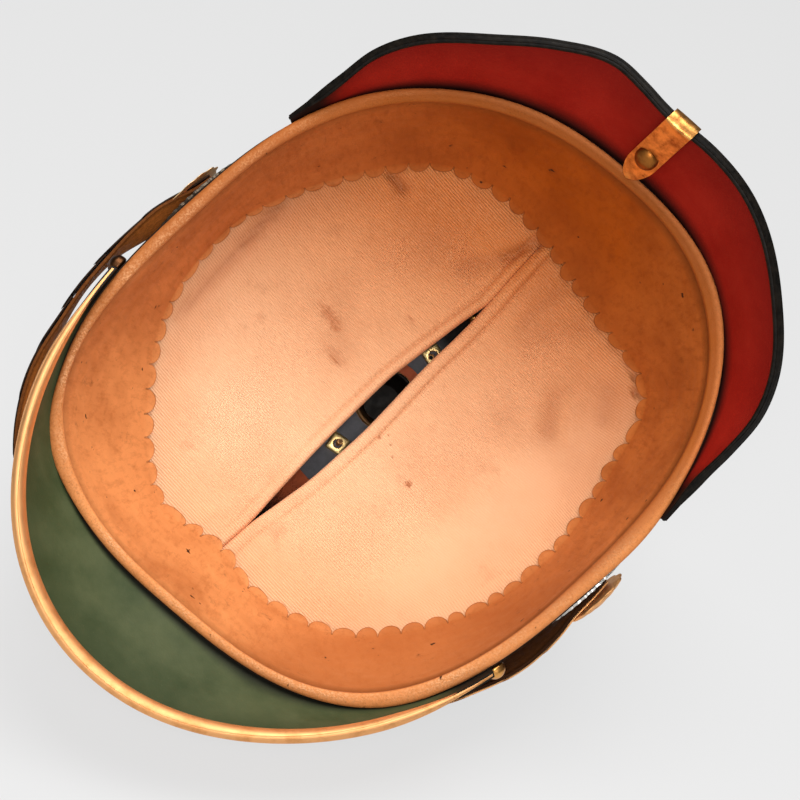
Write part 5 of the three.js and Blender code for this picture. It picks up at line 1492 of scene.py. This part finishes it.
for side, (bearing, kept, further, finish) in FITTINGS.items():
    bearing, rise = math.radians(bearing), rise_at_height(FITTING_HEIGHT)
    cockade = bent_plate(bearing, FITTING_HEIGHT, FIT, angle, radius, thickness)
    add_piece(f"cockade_{side}", cockade, [silver], ring=True, crease=50)
    seat, out = skull(bearing, rise), skull_out(bearing, rise)
    pressed = rosette_profile.copy()
    head = pressed[:, 1] > HEAD_FROM
    pressed[head, 1] = HEAD_SEAT + (pressed[head, 1] - HEAD_SEAT) * kept + further
    rosette = seated(turned(pressed, PETAL_POINTS, swell), seat, out)
    add_piece(f"rosette_{side}", rosette, [finish], traits={"low": np.maximum(moat, between)})

# %% [markdown]
# ## Floor
# The photograph has an even pale ground. A large plane makes the floor. It is a dull grey that glows a
# little, so that it stays pale without much light falling on the helmet from below.

# %% Floor
def pale_floor():
    """Two close greys mixed by wide noise, with an even white glow."""
    f = Finish("pale_floor", Specular_IOR_Level=0.0, Roughness=1.0, Emission_Strength=0.68,
               Emission_Color=(1, 1, 1, 1))
    f.colour(f.mix(f.cloud(900, 2), (0.12, 0.12, 0.12, 1), (0.13, 0.13, 0.13, 1)))
    return f.material


FLOOR_HALF = 4.0
corners = FLOOR_HALF * np.array([(-1, -1, 0), (1, -1, 0), (1, 1, 0), (-1, 1, 0)], float)
floor_mesh = make_mesh("floor", corners, [np.array([[0, 1, 2, 3]])])
floor_mesh.materials.append(pale_floor())
floor = bpy.data.objects.new("floor", floor_mesh)
bpy.context.scene.collection.objects.link(floor)
print("floor of", floor.dimensions.x, "metres")

# %% [markdown]
# ## Lamps
# The photograph's light is soft and comes from above and from beside the lens. One broad lamp hangs
# above, a second stands to the left of the camera, and a small one at the lens looks into the slit. A
# faint white world fills the shadows. Area lamps are used because their edges of shadow are soft.

# %% Lamps
def soft_lamp(name, place, size, power):
    """A square area lamp that looks at the middle of the rim."""
    light = bpy.data.lights.new(name, "AREA")
    light.size, light.energy = size, power
    lamp = bpy.data.objects.new(name, light)
    lamp.matrix_world = looking(np.array(place), rim_centre - np.array(place), np.array([0, 0, 1.0]))
    bpy.context.scene.collection.objects.link(lamp)


def looking(eye, aim, up):
    """A matrix at eye whose -Z looks along aim, with +Y as near to up as can be."""
    back = unit(-aim)
    right = unit(np.cross(up, back))
    turned_axes = np.stack([right, np.cross(back, right), back], axis=1)
    matrix = np.eye(4)
    matrix[:3, :3], matrix[:3, 3] = turned_axes, eye
    return Matrix(matrix.tolist())


EYE, AIM, PICTURE_UP = (0, -51, -900), (-10.18, 140.1, 2610), (0.734, 0.679, 0)
WORLD_STRENGTH = 0.12
eye, aim = laid(EYE), lay_down @ np.array(AIM)
soft_lamp("lamp_above", (0.12, -0.2, 1.5), 1.1, 24)
soft_lamp("lamp_by_camera", (-0.6, -1.2, 0.9), 1.2, 3)
soft_lamp("lamp_near_lens", eye - 0.02 * unit(aim), 0.14, 3.8)
world = bpy.data.worlds.new("studio")
world.use_nodes = True
background = world.node_tree.nodes["Background"]
background.inputs["Color"].default_value = (1, 1, 1, 1)
background.inputs["Strength"].default_value = WORLD_STRENGTH
bpy.context.scene.world = world
print("the lens is", round(float(eye[2]), 2), "m above the floor")

# %% [markdown]
# ## Camera
# The camera looks into the opening from about 0.9 metres below the rim, in the upright helmet's sense.
# Its place, aim and upward direction are written in the helmet's own axes, because there they are easy
# to compare with the photograph. A long lens keeps visors, band and slit flat.

# %% Camera
FOCAL_LENGTH, SENSOR = 117.45, 36.0
up = lay_down @ np.array(PICTURE_UP)
lens = bpy.data.cameras.new("camera")
lens.lens, lens.sensor_width = FOCAL_LENGTH, SENSOR
lens.clip_start, lens.clip_end = 0.01, 20
camera = bpy.data.objects.new("camera", lens)
camera.matrix_world = looking(eye, aim, up)
bpy.context.scene.collection.objects.link(camera)
bpy.context.scene.camera = camera
bpy.context.scene.view_settings.view_transform = "Standard"
print("camera at", [round(v, 3) for v in camera.location])

# %% [markdown]
